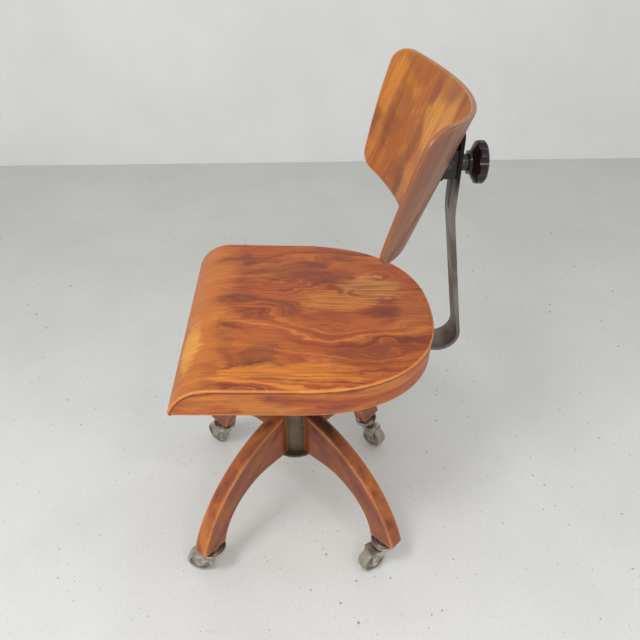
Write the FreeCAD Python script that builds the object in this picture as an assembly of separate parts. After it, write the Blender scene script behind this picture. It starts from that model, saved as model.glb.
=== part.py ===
import FreeCAD
import Part
import math
import os

os.makedirs("parts", exist_ok=True)

# Wooden office chair, in millimetres and degrees. The origin is on the floor on the axis of
# the column, Z is up, the sitter faces -Y and the sitter's left is +X.

# Fits
fit_gap = 0.05
seat_gap = 0.1
running_gap = 0.1
screw_gap = 0.3
overrun = 4.0
offset_tolerance = 0.001
spline_steps = 24

# Caster wheel
wheel_radius = 24.0
wheel_width = 21.0
wheel_shoulder = 3.0
wheel_hub_radius = 9.0
wheel_rim_depth = 5.5
wheel_recess = 4.0
axle_radius = 3.0
axle_head_radius = 4.5
axle_head_height = 2.0

# Caster fork
fork_plate = 2.5
fork_side_gap = 0.75
fork_end_radius = 7.0
caster_trail = 25.5
fork_front = 2.0
crown_radius = 16.0
crown_thick = 7.0
crown_edge = 1.5
hood_gap = 1.5
hood_thick = 3.5
hood_tip_angle = 76.0
stem_radius = 4.0
stem_end_gap = 4.0
washer_thick = 1.3
washer_gap = 0.2

# Caster cup, a dished cover that turns its bright lip down
cup_height = 18.0
cup_neck_radius = 13.0
cup_throat_radius = 14.5
cup_throat_drop = 14.0
cup_shoulder_radius = 19.0
cup_shoulder_drop = 15.5
cup_lip_radius = 24.0
cup_lip_top_drop = 8.0
cup_lip_width = 2.0
cup_lip_thick = 1.5
cup_lip_turn = 2.5
sleeve_radius = 6.1
sleeve_length = 36.0

# Legs, at equal steps round the column
leg_count = 4
leg_first_angle = -43.9
caster_headings = {
    "front_left": -102.0,
    "rear_left": -62.0,
    "rear_right": 50.0,
    "front_right": -132.0,
}
leg_thick = 29.0
leg_root_thick = 20.0
leg_root_taper = 16.0
leg_rise = 190.7
leg_under_rise = 96.5
leg_under_flat = 47.0
leg_top_bow_share = 0.1405
caster_reach = 221.0
foot_inner = 22.7
foot_outer = 29.1
leg_edge_radius = 4.0
leg_root_gap = 0.1

# Column
tube_radius = 33.0
tube_wall = 3.0
flange_radius = 45.0
flange_thick = 4.5
collar_radius = 38.5
collar_height = 8.0
collar_gap = 0.3
bush_flange_radius = 31.0
bush_flange_thick = 4.0
bush_length = 30.0
guide_length = 16.0
guide_rise = 40.0
stud_radius = 4.0
stud_head_radius = 7.0
stud_head_height = 4.0
stud_length = 49.0
stud_low_rise = 32.0
stud_high_rise = 64.0

# Spindle, thrust ring and height nut
spindle_radius = 14.0
spindle_length = 223.0
spindle_tip = 1.5
thrust_radius = 31.0
thrust_thick = 4.0
thrust_bore_gap = 0.48
nut_radius = 33.0
nut_height = 21.8
nut_edge = 1.5
nut_grip_count = 8
nut_grip_radius = 6.0
nut_grip_depth = 4.0
spindle_show = 73.0

# Seat plate, a cast hub with four ribbed arms
hub_radius = 27.0
hub_height = 40.8
hub_bore_depth = 30.0
arm_count = 4
arm_first_angle = 45.0
arm_reach = 100.0
arm_end_width = 24.0
arm_root_width = 36.0
arm_thick = 6.0
rib_thick = 8.0
rib_drop = 24.0
plate_bolt_reach = 92.0
plate_bolt_radius = 3.0
cross_pin_radius = 4.0
cross_pin_length = 60.0
cross_pin_rise = 12.0

# Seat
seat_tilt = 2.06
seat_width = 410.0
seat_front = 175.4
seat_side_end = 4.6
seat_rear_depth = 224.0
seat_rear_power = 2.38
seat_thick = 48.0
seat_ply = 5.0
seat_ply_edge = 2.5
seat_overhang = 1.0
waterfall_turn = 70.0
rim_width = 30.0
rim_front_rail = 42.0
rim_corner = 30.0
rim_edge = 3.0
board_thick = 14.0
board_width = 180.0
board_front_lap = 24.0
board_rear_lap = 14.4
board_corner = 30.0
board_screw_radius = 2.2
board_screw_head = 4.5
board_screw_sink = 2.5
board_screw_length = 28.0
front_screw_spread = 65.0
rear_screw_spread = 60.0
board_screw_margin = 11.0
rear_screw_margin = 22.9

# Bolts through the board
bolt_head_height = 4.0
nut_thick = 5.5
bolt_tail = 1.5
hex_share = 1.815
coach_bolt_radius = 4.0
coach_head_radius = 9.0
coach_head_height = 3.5
coach_head_edge = 1.2

# Back strap, flat steel, placed from the rear of the board and of the rim
strap_width = 52.0
strap_thick = 5.5
strap_lap = 117.0
strap_bolt_margin = 34.0
strap_bolt_pitch = 60.0
strap_clearance = 9.2
strap_corner = 8.0
strap_heel_radius = 31.25
strap_knee_radius = 182.0
strap_lean = 9.26
strap_knee_rise = 220.2
strap_top_rise = 342.2
slot_width = 10.5
slot_length = 110.0
slot_top_margin = 10.0

# Bracket, clamp stud and knob
pivot_rise = 297.2
pivot_reach = 11.8
back_yaw = -1.95
back_recline = 21.14
tilt_forward = 25.0
tilt_back = 2.0
tilt_margin = 0.8
pivot_radius = 3.0
pivot_head_radius = 5.0
pivot_head_height = 2.0
block_width = 44.0
block_below = 21.0
block_above = 20.0
block_nose_gap = 0.4
stud_drop = 5.0
clamp_stud_radius = 5.0
clamp_stud_wall = 1.5
clamp_stud_length = 42.5
knob_collar_length = 13.0
knob_collar_radius = 11.75
knob_neck_radius = 16.5
knob_neck_length = 4.0
knob_radius = 30.5
knob_length = 20.0
knob_cone_length = 7.0
knob_back_edge = 1.5
knob_front_bevel = 3.0
knob_lobe_count = 8
knob_lobe_radius = 14.0
knob_lobe_depth = 2.2
insert_radius = 8.0
insert_length = 19.0

# Backrest panel and the plate on its rear
panel_radius = 285.7
panel_thick = 8.0
panel_top_width = 392.0
panel_bottom_width = 344.4
panel_height = 190.4
panel_top_crown = 7.8
panel_bottom_crown = 1.2
panel_side_bulge = 4.7
panel_top_corner = 30.0
panel_bottom_corner = 24.0
panel_edge = 2.5
pivot_behind = 17.5
pivot_above = 9.8
plate_thick = 3.5
plate_width = 52.0
plate_corner = 6.0
plate_low = 17.0
plate_high = 53.0
ear_thick = 4.0
ear_gap = 0.4
ear_radius = 10.3
ear_low = 24.0
ear_root_high = 24.0
back_screw_radius = 2.0
back_screw_head = 4.0
back_screw_sink = 2.2
back_screw_length = 9.0
back_screw_spread = 15.0
back_screw_margin = 9.0

# Heights worked out from the floor upwards
crown_base = 2 * wheel_radius + hood_gap
cup_base = crown_base + crown_thick + washer_thick + washer_gap
foot_height = cup_base + cup_height
leg_under_height = foot_height + leg_under_rise
leg_top_height = foot_height + leg_rise
tube_base = leg_under_height - flange_thick
collar_base = leg_top_height + collar_gap
tube_top = collar_base + collar_height
thrust_base = tube_top + bush_flange_thick + running_gap
nut_base = thrust_base + thrust_thick + running_gap
hub_base = nut_base + nut_height + spindle_show
seat_height = hub_base + hub_height + board_thick / math.cos(math.radians(seat_tilt))
spindle_top = hub_base + hub_bore_depth
spindle_base = spindle_top - spindle_length
cross_pin_height = hub_base + cross_pin_rise
spindle_bore = spindle_radius + screw_gap
thrust_bore = spindle_radius + thrust_bore_gap
guide_radius = tube_radius - tube_wall - fit_gap

# Places worked out for the seat and the backrest
seat_turn = math.radians(waterfall_turn)
seat_nose = seat_ply
seat_fall = (seat_thick - seat_nose * (1 + math.cos(seat_turn))) / (1 - math.cos(seat_turn))
rim_front = -seat_front + seat_nose
fall_start = rim_front + (seat_fall - seat_nose) * math.sin(seat_turn)
board_front = rim_front + rim_front_rail - board_front_lap
rim_rear = seat_side_end + seat_rear_depth - seat_overhang
board_rear = rim_rear - rim_width + board_rear_lap
strap_start = board_rear - strap_lap
strap_bolt_rear = board_rear - strap_bolt_margin
strap_bolt_places = (strap_bolt_rear - strap_bolt_pitch, strap_bolt_rear)
strap_front = rim_rear + strap_clearance
strap_rear = strap_front + strap_thick
pivot_place = FreeCAD.Vector(0, strap_front - pivot_reach, seat_height + pivot_rise)
stud_height = pivot_place.z - stud_drop
strap_top = seat_height + strap_top_rise
panel_rear_radius = panel_radius + panel_thick
plate_rear_radius = panel_rear_radius + fit_gap + plate_thick
knob_start = strap_rear + seat_gap + knob_collar_length + seat_gap

Vector = FreeCAD.Vector
Rotation = FreeCAD.Rotation
Placement = FreeCAD.Placement
ORIGIN = Vector(0, 0, 0)
X_AXIS = Vector(1, 0, 0)
Y_AXIS = Vector(0, 1, 0)
Z_AXIS = Vector(0, 0, 1)

seat_frame = Placement(Vector(0, 0, seat_height), Rotation(X_AXIS, -seat_tilt))
back_turn = Rotation(Z_AXIS, back_yaw).multiply(Rotation(X_AXIS, -back_recline))
back_origin = pivot_place - back_turn.multVec(Vector(0, pivot_behind, pivot_above))
back_frame = Placement(back_origin, back_turn)
pivot_frame = Placement(pivot_place, Rotation(Z_AXIS, back_yaw))


def placed(shape, frame):
    copy = shape.copy()
    copy.Placement = frame.multiply(copy.Placement)
    return copy


def closed_face(edges):
    return Part.Face(Part.Wire(Part.sortEdges(edges)[0]))


def polygon_face(points):
    return Part.Face(Part.makePolygon(points + points[:1]))


def bowed_edge(start, end, bow):
    # Arc that stands off its chord by the length and direction of bow.
    return Part.Arc(start, (start + end) / 2 + bow, end).toShape()


def edges_where(shape, test):
    return [edge for edge in shape.Edges if test(edge)]


def rod(radius, length, base=ORIGIN, direction=Z_AXIS):
    return Part.makeCylinder(radius, length, base, direction)


def ring(outer, inner, height, base):
    body = rod(outer, height, Vector(0, 0, base))
    return body.cut(rod(inner, height + 2 * overrun, Vector(0, 0, base - overrun)))


def turned(profile, frame=Placement()):
    # Solid of revolution of (radius, height) points about the frame's Z.
    points = [Vector(radius, 0, height) for radius, height in profile]
    return placed(polygon_face(points).revolve(ORIGIN, Z_AXIS, 360), frame)


def along(axis, place):
    # Frame whose Z lies along the axis.
    return Placement(place, Rotation(Z_AXIS, axis))


def hex_prism(radius, height, base):
    points = []
    for side in range(6):
        angle = math.radians(60 * side)
        points.append(base + Vector(radius * math.cos(angle), radius * math.sin(angle), 0))
    return polygon_face(points).extrude(Vector(0, 0, height))


def countersunk(head, shank, sink, length, gap):
    # Screw with its flat head at zero, pointing along +Z. A gap makes its pocket.
    profile = [(0, 0), (head + gap, 0), (shank + gap, sink), (shank + gap, length + gap), (0, length + gap)]
    return turned(profile)


def rounded_plate(width, low, high, thick, corner):
    # Plate in the XY plane, centred across X.
    plate = Part.makeBox(width, high - low, thick, Vector(-width / 2, low, 0))
    upright = edges_where(plate, lambda edge: abs(edge.BoundBox.ZLength - thick) < fit_gap)
    return plate.makeFillet(corner, upright)


def save(name, shape):
    shape.exportStep("parts/" + name + ".step")


def leg_angle(index):
    return leg_first_angle + 360 / leg_count * index


def leg_frame(index):
    return Placement(ORIGIN, Rotation(Z_AXIS, leg_angle(index)))


def root_start():
    # Radius where the narrowed root meets the wall of the column.
    return math.sqrt(tube_radius ** 2 - (leg_root_thick / 2) ** 2)


def leg_profile():
    # Side view of a leg, radius along X and height along Z.
    root_top = Vector(root_start(), 0, leg_top_height)
    toe = Vector(caster_reach + foot_outer, 0, foot_height)
    heel = Vector(caster_reach - foot_inner, 0, foot_height)
    under = Vector(tube_radius + leg_under_flat, 0, leg_under_height)
    root_under = Vector(root_start(), 0, leg_under_height)
    top_chord = toe - root_top
    under_chord = heel - under
    fall = math.atan2(leg_under_rise, under_chord.x)
    top_bow = top_chord.cross(Y_AXIS) * leg_top_bow_share
    under_bow = under_chord.cross(Y_AXIS) * (math.tan(fall / 2) / 2)
    return closed_face([
        bowed_edge(root_top, toe, top_bow),
        Part.makeLine(toe, heel),
        bowed_edge(heel, under, under_bow),
        Part.makeLine(under, root_under),
        Part.makeLine(root_under, root_top),
    ])


def leg_plan():
    # Plan view of a leg, narrowed where it meets the column.
    start = root_start() - overrun
    wide = tube_radius + leg_root_taper
    end = caster_reach + foot_outer + overrun
    root = leg_root_thick / 2
    half = leg_thick / 2
    outline = [(start, -root), (tube_radius, -root), (wide, -half), (end, -half)]
    outline += [(x, -y) for x, y in reversed(outline)]
    face = polygon_face([Vector(x, y, 0) for x, y in outline])
    return face.extrude(Vector(0, 0, leg_top_height + overrun))


def make_leg(index):
    half = leg_thick / 2
    board = leg_profile()
    board.translate(Vector(0, -half, 0))
    board = board.extrude(Vector(0, leg_thick, 0))

    def is_arris(edge):
        box = edge.BoundBox
        return box.YLength < fit_gap and box.XLength > leg_under_flat / 2 and box.ZMax > foot_height + fit_gap

    leg = board.makeFillet(leg_edge_radius, edges_where(board, is_arris))
    leg = leg.common(leg_plan())
    leg = leg.cut(rod(tube_radius + leg_root_gap, leg_top_height + overrun))
    socket_length = sleeve_length + 2 * fit_gap
    leg = leg.cut(rod(sleeve_radius + fit_gap, socket_length, Vector(caster_reach, 0, foot_height)))
    for rise in (stud_low_rise, stud_high_rise):
        start = Vector(tube_radius - overrun, 0, tube_base + rise)
        depth = stud_length - tube_wall + overrun + fit_gap
        leg = leg.cut(rod(stud_radius + fit_gap, depth, start, X_AXIS))
    return placed(leg, leg_frame(index))


def make_leg_studs():
    studs = []
    inner_flat = math.sqrt((tube_radius - tube_wall) ** 2 - stud_head_radius ** 2)
    head_start = inner_flat - stud_head_height - seat_gap
    for index in range(leg_count):
        for rise in (stud_low_rise, stud_high_rise):
            start = Vector(head_start, 0, tube_base + rise)
            head = rod(stud_head_radius, stud_head_height, start, X_AXIS)
            length = stud_length + tube_radius - tube_wall - head_start
            stud = head.fuse(rod(stud_radius, length, start, X_AXIS))
            studs.append(placed(stud, leg_frame(index)))
    return Part.makeCompound(studs)


def make_column_tube():
    tube = ring(tube_radius, tube_radius - tube_wall, tube_top - tube_base, tube_base)
    for index in range(leg_count):
        for rise in (stud_low_rise, stud_high_rise):
            start = Vector(tube_radius - tube_wall - overrun, 0, tube_base + rise)
            hole = rod(stud_radius + seat_gap, tube_wall + 2 * overrun, start, X_AXIS)
            tube = tube.cut(placed(hole, leg_frame(index)))
    return tube


def make_column_bush():
    bore = spindle_bore
    outer = tube_radius - tube_wall - fit_gap
    return turned([
        (bore, tube_top - bush_length),
        (outer, tube_top - bush_length),
        (outer, tube_top),
        (bush_flange_radius, tube_top),
        (bush_flange_radius, tube_top + bush_flange_thick),
        (bore, tube_top + bush_flange_thick),
    ])


def make_height_nut():
    top = nut_base + nut_height
    nut = turned([
        (spindle_bore, nut_base),
        (nut_radius - nut_edge, nut_base),
        (nut_radius, nut_base + nut_edge),
        (nut_radius, top - nut_edge),
        (nut_radius - nut_edge, top),
        (spindle_bore, top),
    ])
    reach = nut_radius + nut_grip_radius - nut_grip_depth
    for grip in range(nut_grip_count):
        angle = math.radians(360 / nut_grip_count * grip)
        base = Vector(reach * math.cos(angle), reach * math.sin(angle), nut_base - overrun)
        nut = nut.cut(rod(nut_grip_radius, nut_height + 2 * overrun, base))
    return nut


def make_caster_cup(index):
    top = foot_height
    lip_top = cup_base + cup_height - cup_lip_top_drop
    cup = turned([
        (stem_radius + running_gap, top + sleeve_length),
        (sleeve_radius, top + sleeve_length),
        (sleeve_radius, top),
        (cup_neck_radius, top),
        (cup_throat_radius, top - cup_throat_drop),
        (cup_shoulder_radius, top - cup_shoulder_drop),
        (cup_lip_radius - cup_lip_width, lip_top),
        (cup_lip_radius, lip_top),
        (cup_lip_radius, lip_top - cup_lip_thick),
        (cup_lip_radius - cup_lip_turn, cup_base),
        (stem_radius + running_gap, cup_base),
    ])
    return placed(cup, Placement(caster_place(index), Rotation()))


def caster_place(index):
    angle = math.radians(leg_angle(index))
    return Vector(caster_reach * math.cos(angle), caster_reach * math.sin(angle), 0)


def caster_frame(index, heading):
    return Placement(caster_place(index), Rotation(Z_AXIS, heading))


def fork_outline(start):
    # Side view of the fork: round end at the axle, hood over the wheel, flat under the crown.
    tail = wheel_radius + hood_gap + hood_thick
    low = math.radians(hood_tip_angle)
    middle = (low + math.pi / 2) / 2
    top = Vector(caster_trail, start, wheel_radius + tail)
    tip = Vector(caster_trail + tail * math.cos(low), start, wheel_radius + tail * math.sin(low))
    crest = Vector(caster_trail + tail * math.cos(middle), start, wheel_radius + tail * math.sin(middle))
    end_front = Vector(caster_trail - fork_end_radius, start, wheel_radius)
    end_low = Vector(caster_trail, start, wheel_radius - fork_end_radius)
    end_back = Vector(caster_trail + fork_end_radius, start, wheel_radius)
    front_low = Vector(-fork_front, start, crown_base)
    front_top = Vector(-fork_front, start, wheel_radius + tail)
    return closed_face([
        Part.makeLine(front_top, front_low),
        Part.makeLine(front_low, end_front),
        Part.Arc(end_front, end_low, end_back).toShape(),
        Part.makeLine(end_back, tip),
        Part.Arc(tip, crest, top).toShape(),
        Part.makeLine(top, front_top),
    ])


def wheel_space():
    # Room for the wheel between the cheeks, open below and in front.
    half = wheel_width / 2 + fork_side_gap
    reach = wheel_radius + hood_gap
    front = -fork_front - overrun
    top = Vector(caster_trail, -half, crown_base)
    back = Vector(caster_trail + reach, -half, wheel_radius)
    bottom = Vector(caster_trail, -half, wheel_radius - reach)
    section = closed_face([
        Part.Arc(top, back, bottom).toShape(),
        Part.makeLine(bottom, Vector(front, -half, bottom.z)),
        Part.makeLine(Vector(front, -half, bottom.z), Vector(front, -half, crown_base)),
        Part.makeLine(Vector(front, -half, crown_base), top),
    ])
    return section.extrude(Vector(0, 2 * half, 0))


def make_fork(index, heading):
    outer_half = wheel_width / 2 + fork_side_gap + fork_plate
    crown_top = crown_base + crown_thick
    stem_top = foot_height + sleeve_length - stem_end_gap
    crown = turned([
        (0, crown_base),
        (crown_radius, crown_base),
        (crown_radius, crown_top - crown_edge),
        (crown_radius - crown_edge, crown_top),
        (stem_radius, crown_top),
        (stem_radius, stem_top),
        (0, stem_top),
    ])
    fork = fork_outline(-outer_half).extrude(Vector(0, 2 * outer_half, 0)).cut(wheel_space())
    axle = Vector(caster_trail, -outer_half - overrun, wheel_radius)
    fork = fork.cut(rod(axle_radius + fit_gap, 2 * (outer_half + overrun), axle, Y_AXIS))
    return placed(crown.fuse(fork), caster_frame(index, heading))


def make_axle(index, heading):
    outer_half = wheel_width / 2 + fork_side_gap + fork_plate
    head = outer_half + axle_head_height
    axle = turned([
        (0, -head),
        (axle_head_radius - axle_head_height / 2, -head),
        (axle_head_radius, -outer_half - axle_head_height / 2),
        (axle_head_radius, -outer_half),
        (axle_radius, -outer_half),
        (axle_radius, outer_half),
        (axle_head_radius, outer_half),
        (axle_head_radius, outer_half + axle_head_height / 2),
        (axle_head_radius - axle_head_height / 2, head),
        (0, head),
    ], along(Y_AXIS, Vector(caster_trail, 0, wheel_radius)))
    return placed(axle, caster_frame(index, heading))


def make_wheel(index, heading):
    half = wheel_width / 2
    rim_inner = wheel_radius - wheel_rim_depth
    shoulder = wheel_shoulder * (1 - math.sqrt(0.5))
    right = [
        (axle_radius + fit_gap, half),
        (wheel_hub_radius, half),
        (wheel_hub_radius, half - wheel_recess),
        (rim_inner, half - wheel_recess),
        (rim_inner, half),
        (wheel_radius - wheel_shoulder, half),
        (wheel_radius - shoulder, half - shoulder),
        (wheel_radius, half - wheel_shoulder),
    ]
    left = [(radius, -height) for radius, height in reversed(right)]
    wheel = turned(right + left, along(Y_AXIS, Vector(caster_trail, 0, wheel_radius)))
    return placed(wheel, caster_frame(index, heading))


def make_washer(index):
    place = caster_place(index)
    base = crown_base + crown_thick
    washer = ring(crown_radius, stem_radius + seat_gap, washer_thick, base)
    return placed(washer, Placement(place, Rotation()))


def make_spindle():
    spindle = turned([
        (0, spindle_base),
        (spindle_radius - spindle_tip, spindle_base),
        (spindle_radius, spindle_base + spindle_tip),
        (spindle_radius, spindle_top),
        (0, spindle_top),
    ])
    return spindle.cut(cross_pin_hole())


def cross_pin_hole():
    start = Vector(-hub_radius - overrun, 0, cross_pin_height)
    return rod(cross_pin_radius + fit_gap, 2 * (hub_radius + overrun), start, X_AXIS)


def make_spindle_pin():
    start = Vector(-cross_pin_length / 2, 0, cross_pin_height)
    return rod(cross_pin_radius, cross_pin_length, start, X_AXIS)


def spider_arm(angle):
    # Tapered arm with a rib below, in the frame of the seat.
    top = -board_thick
    end = arm_reach - arm_end_width / 2
    half = arm_end_width / 2
    plan = closed_face([
        Part.makeLine(Vector(0, -arm_root_width / 2, 0), Vector(end, -half, 0)),
        Part.Arc(Vector(end, -half, 0), Vector(arm_reach, 0, 0), Vector(end, half, 0)).toShape(),
        Part.makeLine(Vector(end, half, 0), Vector(0, arm_root_width / 2, 0)),
        Part.makeLine(Vector(0, arm_root_width / 2, 0), Vector(0, -arm_root_width / 2, 0)),
    ])
    plan.translate(Vector(0, 0, top - arm_thick))
    arm = plan.extrude(Vector(0, 0, arm_thick))
    under = top - arm_thick
    rib_end = plate_bolt_reach - arm_end_width / 2
    rib = polygon_face([
        Vector(hub_radius / 2, -rib_thick / 2, under),
        Vector(rib_end, -rib_thick / 2, under),
        Vector(hub_radius / 2, -rib_thick / 2, under - rib_drop),
    ]).extrude(Vector(0, rib_thick, 0))
    return placed(arm.fuse(rib), Placement(ORIGIN, Rotation(Z_AXIS, angle)))


def arm_angles():
    return [arm_first_angle + 360 / arm_count * arm for arm in range(arm_count)]


def plate_bolt_places():
    places = []
    for arm_angle in arm_angles():
        angle = math.radians(arm_angle)
        places.append(Vector(plate_bolt_reach * math.cos(angle), plate_bolt_reach * math.sin(angle), 0))
    return places


def make_seat_plate():
    hub_extra = hub_radius * math.tan(math.radians(seat_tilt)) + overrun
    hub = rod(hub_radius, hub_height + hub_extra, Vector(0, 0, hub_base))
    size = 2 * (hub_radius + overrun)
    above = Part.makeBox(size, size, size, Vector(-size / 2, -size / 2, -board_thick))
    hub = hub.cut(placed(above, seat_frame))
    arms = [placed(spider_arm(angle), seat_frame) for angle in arm_angles()]
    plate = hub.fuse(arms).removeSplitter()
    plate = plate.cut(rod(spindle_radius + fit_gap, hub_bore_depth, Vector(0, 0, hub_base)))
    plate = plate.cut(cross_pin_hole())
    for place in plate_bolt_places():
        start = place + Vector(0, 0, -board_thick - arm_thick - overrun)
        hole = rod(plate_bolt_radius + fit_gap, arm_thick + 2 * overrun, start)
        plate = plate.cut(placed(hole, seat_frame))
    return plate


def through_bolt(radius, place, under, head):
    # Bolt up through the board with its nut on top, in the frame of the seat.
    shank = rod(radius, nut_thick + bolt_tail - under, place + Vector(0, 0, under))
    nut = hex_prism(radius * hex_share, nut_thick, place)
    return head.fuse([shank, nut]).removeSplitter()


def make_plate_bolts():
    bolts = []
    under = -board_thick - arm_thick
    for place in plate_bolt_places():
        base = place + Vector(0, 0, under - bolt_head_height)
        head = hex_prism(plate_bolt_radius * hex_share, bolt_head_height, base)
        bolts.append(placed(through_bolt(plate_bolt_radius, place, under, head), seat_frame))
    return Part.makeCompound(bolts)


def make_strap_bolts():
    bolts = []
    under = -board_thick - strap_thick
    for along_y in strap_bolt_places:
        place = Vector(0, along_y, 0)
        profile = [
            (0, under - coach_head_height),
            (coach_head_radius - coach_head_height, under - coach_head_height),
            (coach_head_radius, under - coach_head_edge),
            (coach_head_radius, under),
            (0, under),
        ]
        head = turned(profile, Placement(place, Rotation()))
        bolts.append(placed(through_bolt(coach_bolt_radius, place, under, head), seat_frame))
    return Part.makeCompound(bolts)


def board_screw_places():
    front = rim_front + rim_front_rail - board_screw_margin
    rear = rim_rear - rear_screw_margin
    spots = []
    for side in (-1, 1):
        spots.append(Vector(side * front_screw_spread, front, -board_thick))
        spots.append(Vector(side * rear_screw_spread, rear, -board_thick))
    return spots


def board_screw(place, gap):
    screw = countersunk(board_screw_head, board_screw_radius, board_screw_sink, board_screw_length, gap)
    return placed(placed(screw, Placement(place, Rotation())), seat_frame)


def make_board_screws():
    return Part.makeCompound([board_screw(place, 0) for place in board_screw_places()])


def cut_board_screws(shape):
    for place in board_screw_places():
        shape = shape.cut(board_screw(place, fit_gap))
    return shape


def make_seat_board():
    board = rounded_plate(board_width, board_front, board_rear, board_thick, board_corner)
    board.translate(Vector(0, 0, -board_thick))
    bolts = [(place, plate_bolt_radius) for place in plate_bolt_places()]
    bolts += [(Vector(0, along_y, 0), coach_bolt_radius) for along_y in strap_bolt_places]
    for place, radius in bolts:
        start = place + Vector(0, 0, -board_thick - overrun)
        board = board.cut(rod(radius + fit_gap, board_thick + 2 * overrun, start))
    return cut_board_screws(placed(board, seat_frame))


def seat_outline(inset, front):
    # Plan of the seat: straight front and sides, and a superellipse round the rear.
    half = seat_width / 2 - inset
    depth = seat_rear_depth - inset
    power = 2 / seat_rear_power
    points = []
    for step in range(spline_steps + 1):
        angle = math.pi * step / spline_steps
        across = math.copysign(abs(math.cos(angle)) ** power, math.cos(angle))
        back = abs(math.sin(angle)) ** power
        points.append(Vector(half * across, seat_side_end + depth * back, 0))
    rear = Part.BSplineCurve()
    rear.interpolate(Points=points, InitialTangent=Y_AXIS, FinalTangent=-Y_AXIS)
    front_left = Vector(half, front, 0)
    front_right = Vector(-half, front, 0)
    return closed_face([
        rear.toShape(),
        Part.makeLine(points[-1], front_right),
        Part.makeLine(front_right, front_left),
        Part.makeLine(front_left, points[0]),
    ])


def fall_point(radius, turn):
    # Point on an arc of the waterfall front, turned down from the flat top.
    centre = Vector(0, fall_start, seat_thick - seat_fall)
    return centre + Vector(0, -radius * math.sin(turn), radius * math.cos(turn))


def fall_edge(radius, turn):
    return Part.Arc(fall_point(radius, 0), fall_point(radius, turn / 2), fall_point(radius, turn)).toShape()


def across_seat(face, half):
    face.translate(Vector(-half, 0, 0))
    return face.extrude(Vector(2 * half, 0, 0))


def seat_top_flat():
    # Level part of the moulded top, with its upper arris rounded.
    flat = seat_outline(0, fall_start)
    flat.translate(Vector(0, 0, seat_thick - seat_ply))
    flat = flat.extrude(Vector(0, 0, seat_ply))

    def is_arris(edge):
        box = edge.BoundBox
        return box.ZMin > seat_thick - fit_gap and box.YLength > fit_gap

    return flat.makeFillet(seat_ply_edge, edges_where(flat, is_arris))


def seat_top_fall():
    # Waterfall front, which ends in a round nose in front of the rim.
    inner = seat_fall - seat_ply
    nose = fall_point(inner, seat_turn)
    outer_end = fall_point(seat_fall, seat_turn)
    foot = nose - Vector(0, 0, seat_nose)
    turn = (seat_turn + math.pi) / 2
    nose_middle = nose + Vector(0, -seat_nose * math.sin(turn), seat_nose * math.cos(turn))
    fall = across_seat(closed_face([
        Part.makeLine(fall_point(inner, 0), fall_point(seat_fall, 0)),
        fall_edge(seat_fall, seat_turn),
        Part.Arc(outer_end, nose_middle, foot).toShape(),
        Part.makeLine(foot, nose),
        fall_edge(inner, seat_turn),
    ]), seat_width / 2)
    arc_centre = Vector(0, fall_start, seat_thick - seat_fall)

    def is_arris(edge):
        middle = edge.valueAt((edge.FirstParameter + edge.LastParameter) / 2)
        from_arc = Vector(0, middle.y, middle.z).sub(arc_centre).Length
        on_side = edge.BoundBox.XLength < fit_gap and middle.y < fall_start - fit_gap
        return on_side and abs(from_arc - seat_fall) < fit_gap

    return fall.makeFillet(seat_ply_edge, edges_where(fall, is_arris))


def make_seat_top():
    top = seat_top_flat().fuse(seat_top_fall()).removeSplitter()
    return placed(top, seat_frame)


def make_seat_rim():
    height = seat_thick - seat_ply
    block = seat_outline(seat_overhang, rim_front).extrude(Vector(0, 0, height))

    def is_under_arris(edge):
        box = edge.BoundBox
        return box.ZMax < fit_gap and box.YLength > overrun

    block = block.makeFillet(rim_edge, edges_where(block, is_under_arris))
    inner = seat_fall - seat_ply
    nose = fall_point(inner, seat_turn)
    foot = nose - Vector(0, 0, seat_nose + overrun)
    rear = Vector(0, rim_rear + overrun, height)
    section = across_seat(closed_face([
        Part.makeLine(rear, fall_point(inner, 0)),
        fall_edge(inner, seat_turn),
        Part.makeLine(nose, foot),
        Part.makeLine(foot, Vector(0, rear.y, foot.z)),
        Part.makeLine(Vector(0, rear.y, foot.z), rear),
    ]), seat_width / 2 + overrun)
    hollow = seat_outline(seat_overhang + rim_width, rim_front + rim_front_rail)
    hollow = hollow.extrude(Vector(0, 0, height + 2 * overrun))

    def is_front_corner(edge):
        box = edge.BoundBox
        return box.ZLength > height and box.YMin < rim_front + rim_front_rail + fit_gap and box.YLength < fit_gap

    hollow = hollow.makeFillet(rim_corner, edges_where(hollow, is_front_corner))
    hollow.translate(Vector(0, 0, -overrun))
    rim = block.common(section).cut(hollow)
    return cut_board_screws(placed(rim, seat_frame))


def strip_side(corners, radii, offset):
    # One long face of a bent bar in the YZ plane, as lines and tangent arcs.
    steps = [(after - before).normalize() for before, after in zip(corners, corners[1:])]
    start = corners[0] + X_AXIS.cross(steps[0]) * offset
    edges = []
    for corner, radius, before, after in zip(corners[1:], radii, steps, steps[1:]):
        half_turn = before.getAngle(after) / 2
        reach = radius * math.tan(half_turn)
        inward = (after - before).normalize()
        crown = corner + inward * (radius / math.cos(half_turn) - radius)
        crown = crown + X_AXIS.cross((before + after).normalize()) * offset
        enter = corner - before * reach + X_AXIS.cross(before) * offset
        leave = corner + after * reach + X_AXIS.cross(after) * offset
        edges.append(Part.makeLine(start, enter))
        edges.append(Part.Arc(enter, crown, leave).toShape())
        start = leave
    end = corners[-1] + X_AXIS.cross(steps[-1]) * offset
    edges.append(Part.makeLine(start, end))
    return edges, corners[0] + X_AXIS.cross(steps[0]) * offset, end


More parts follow.
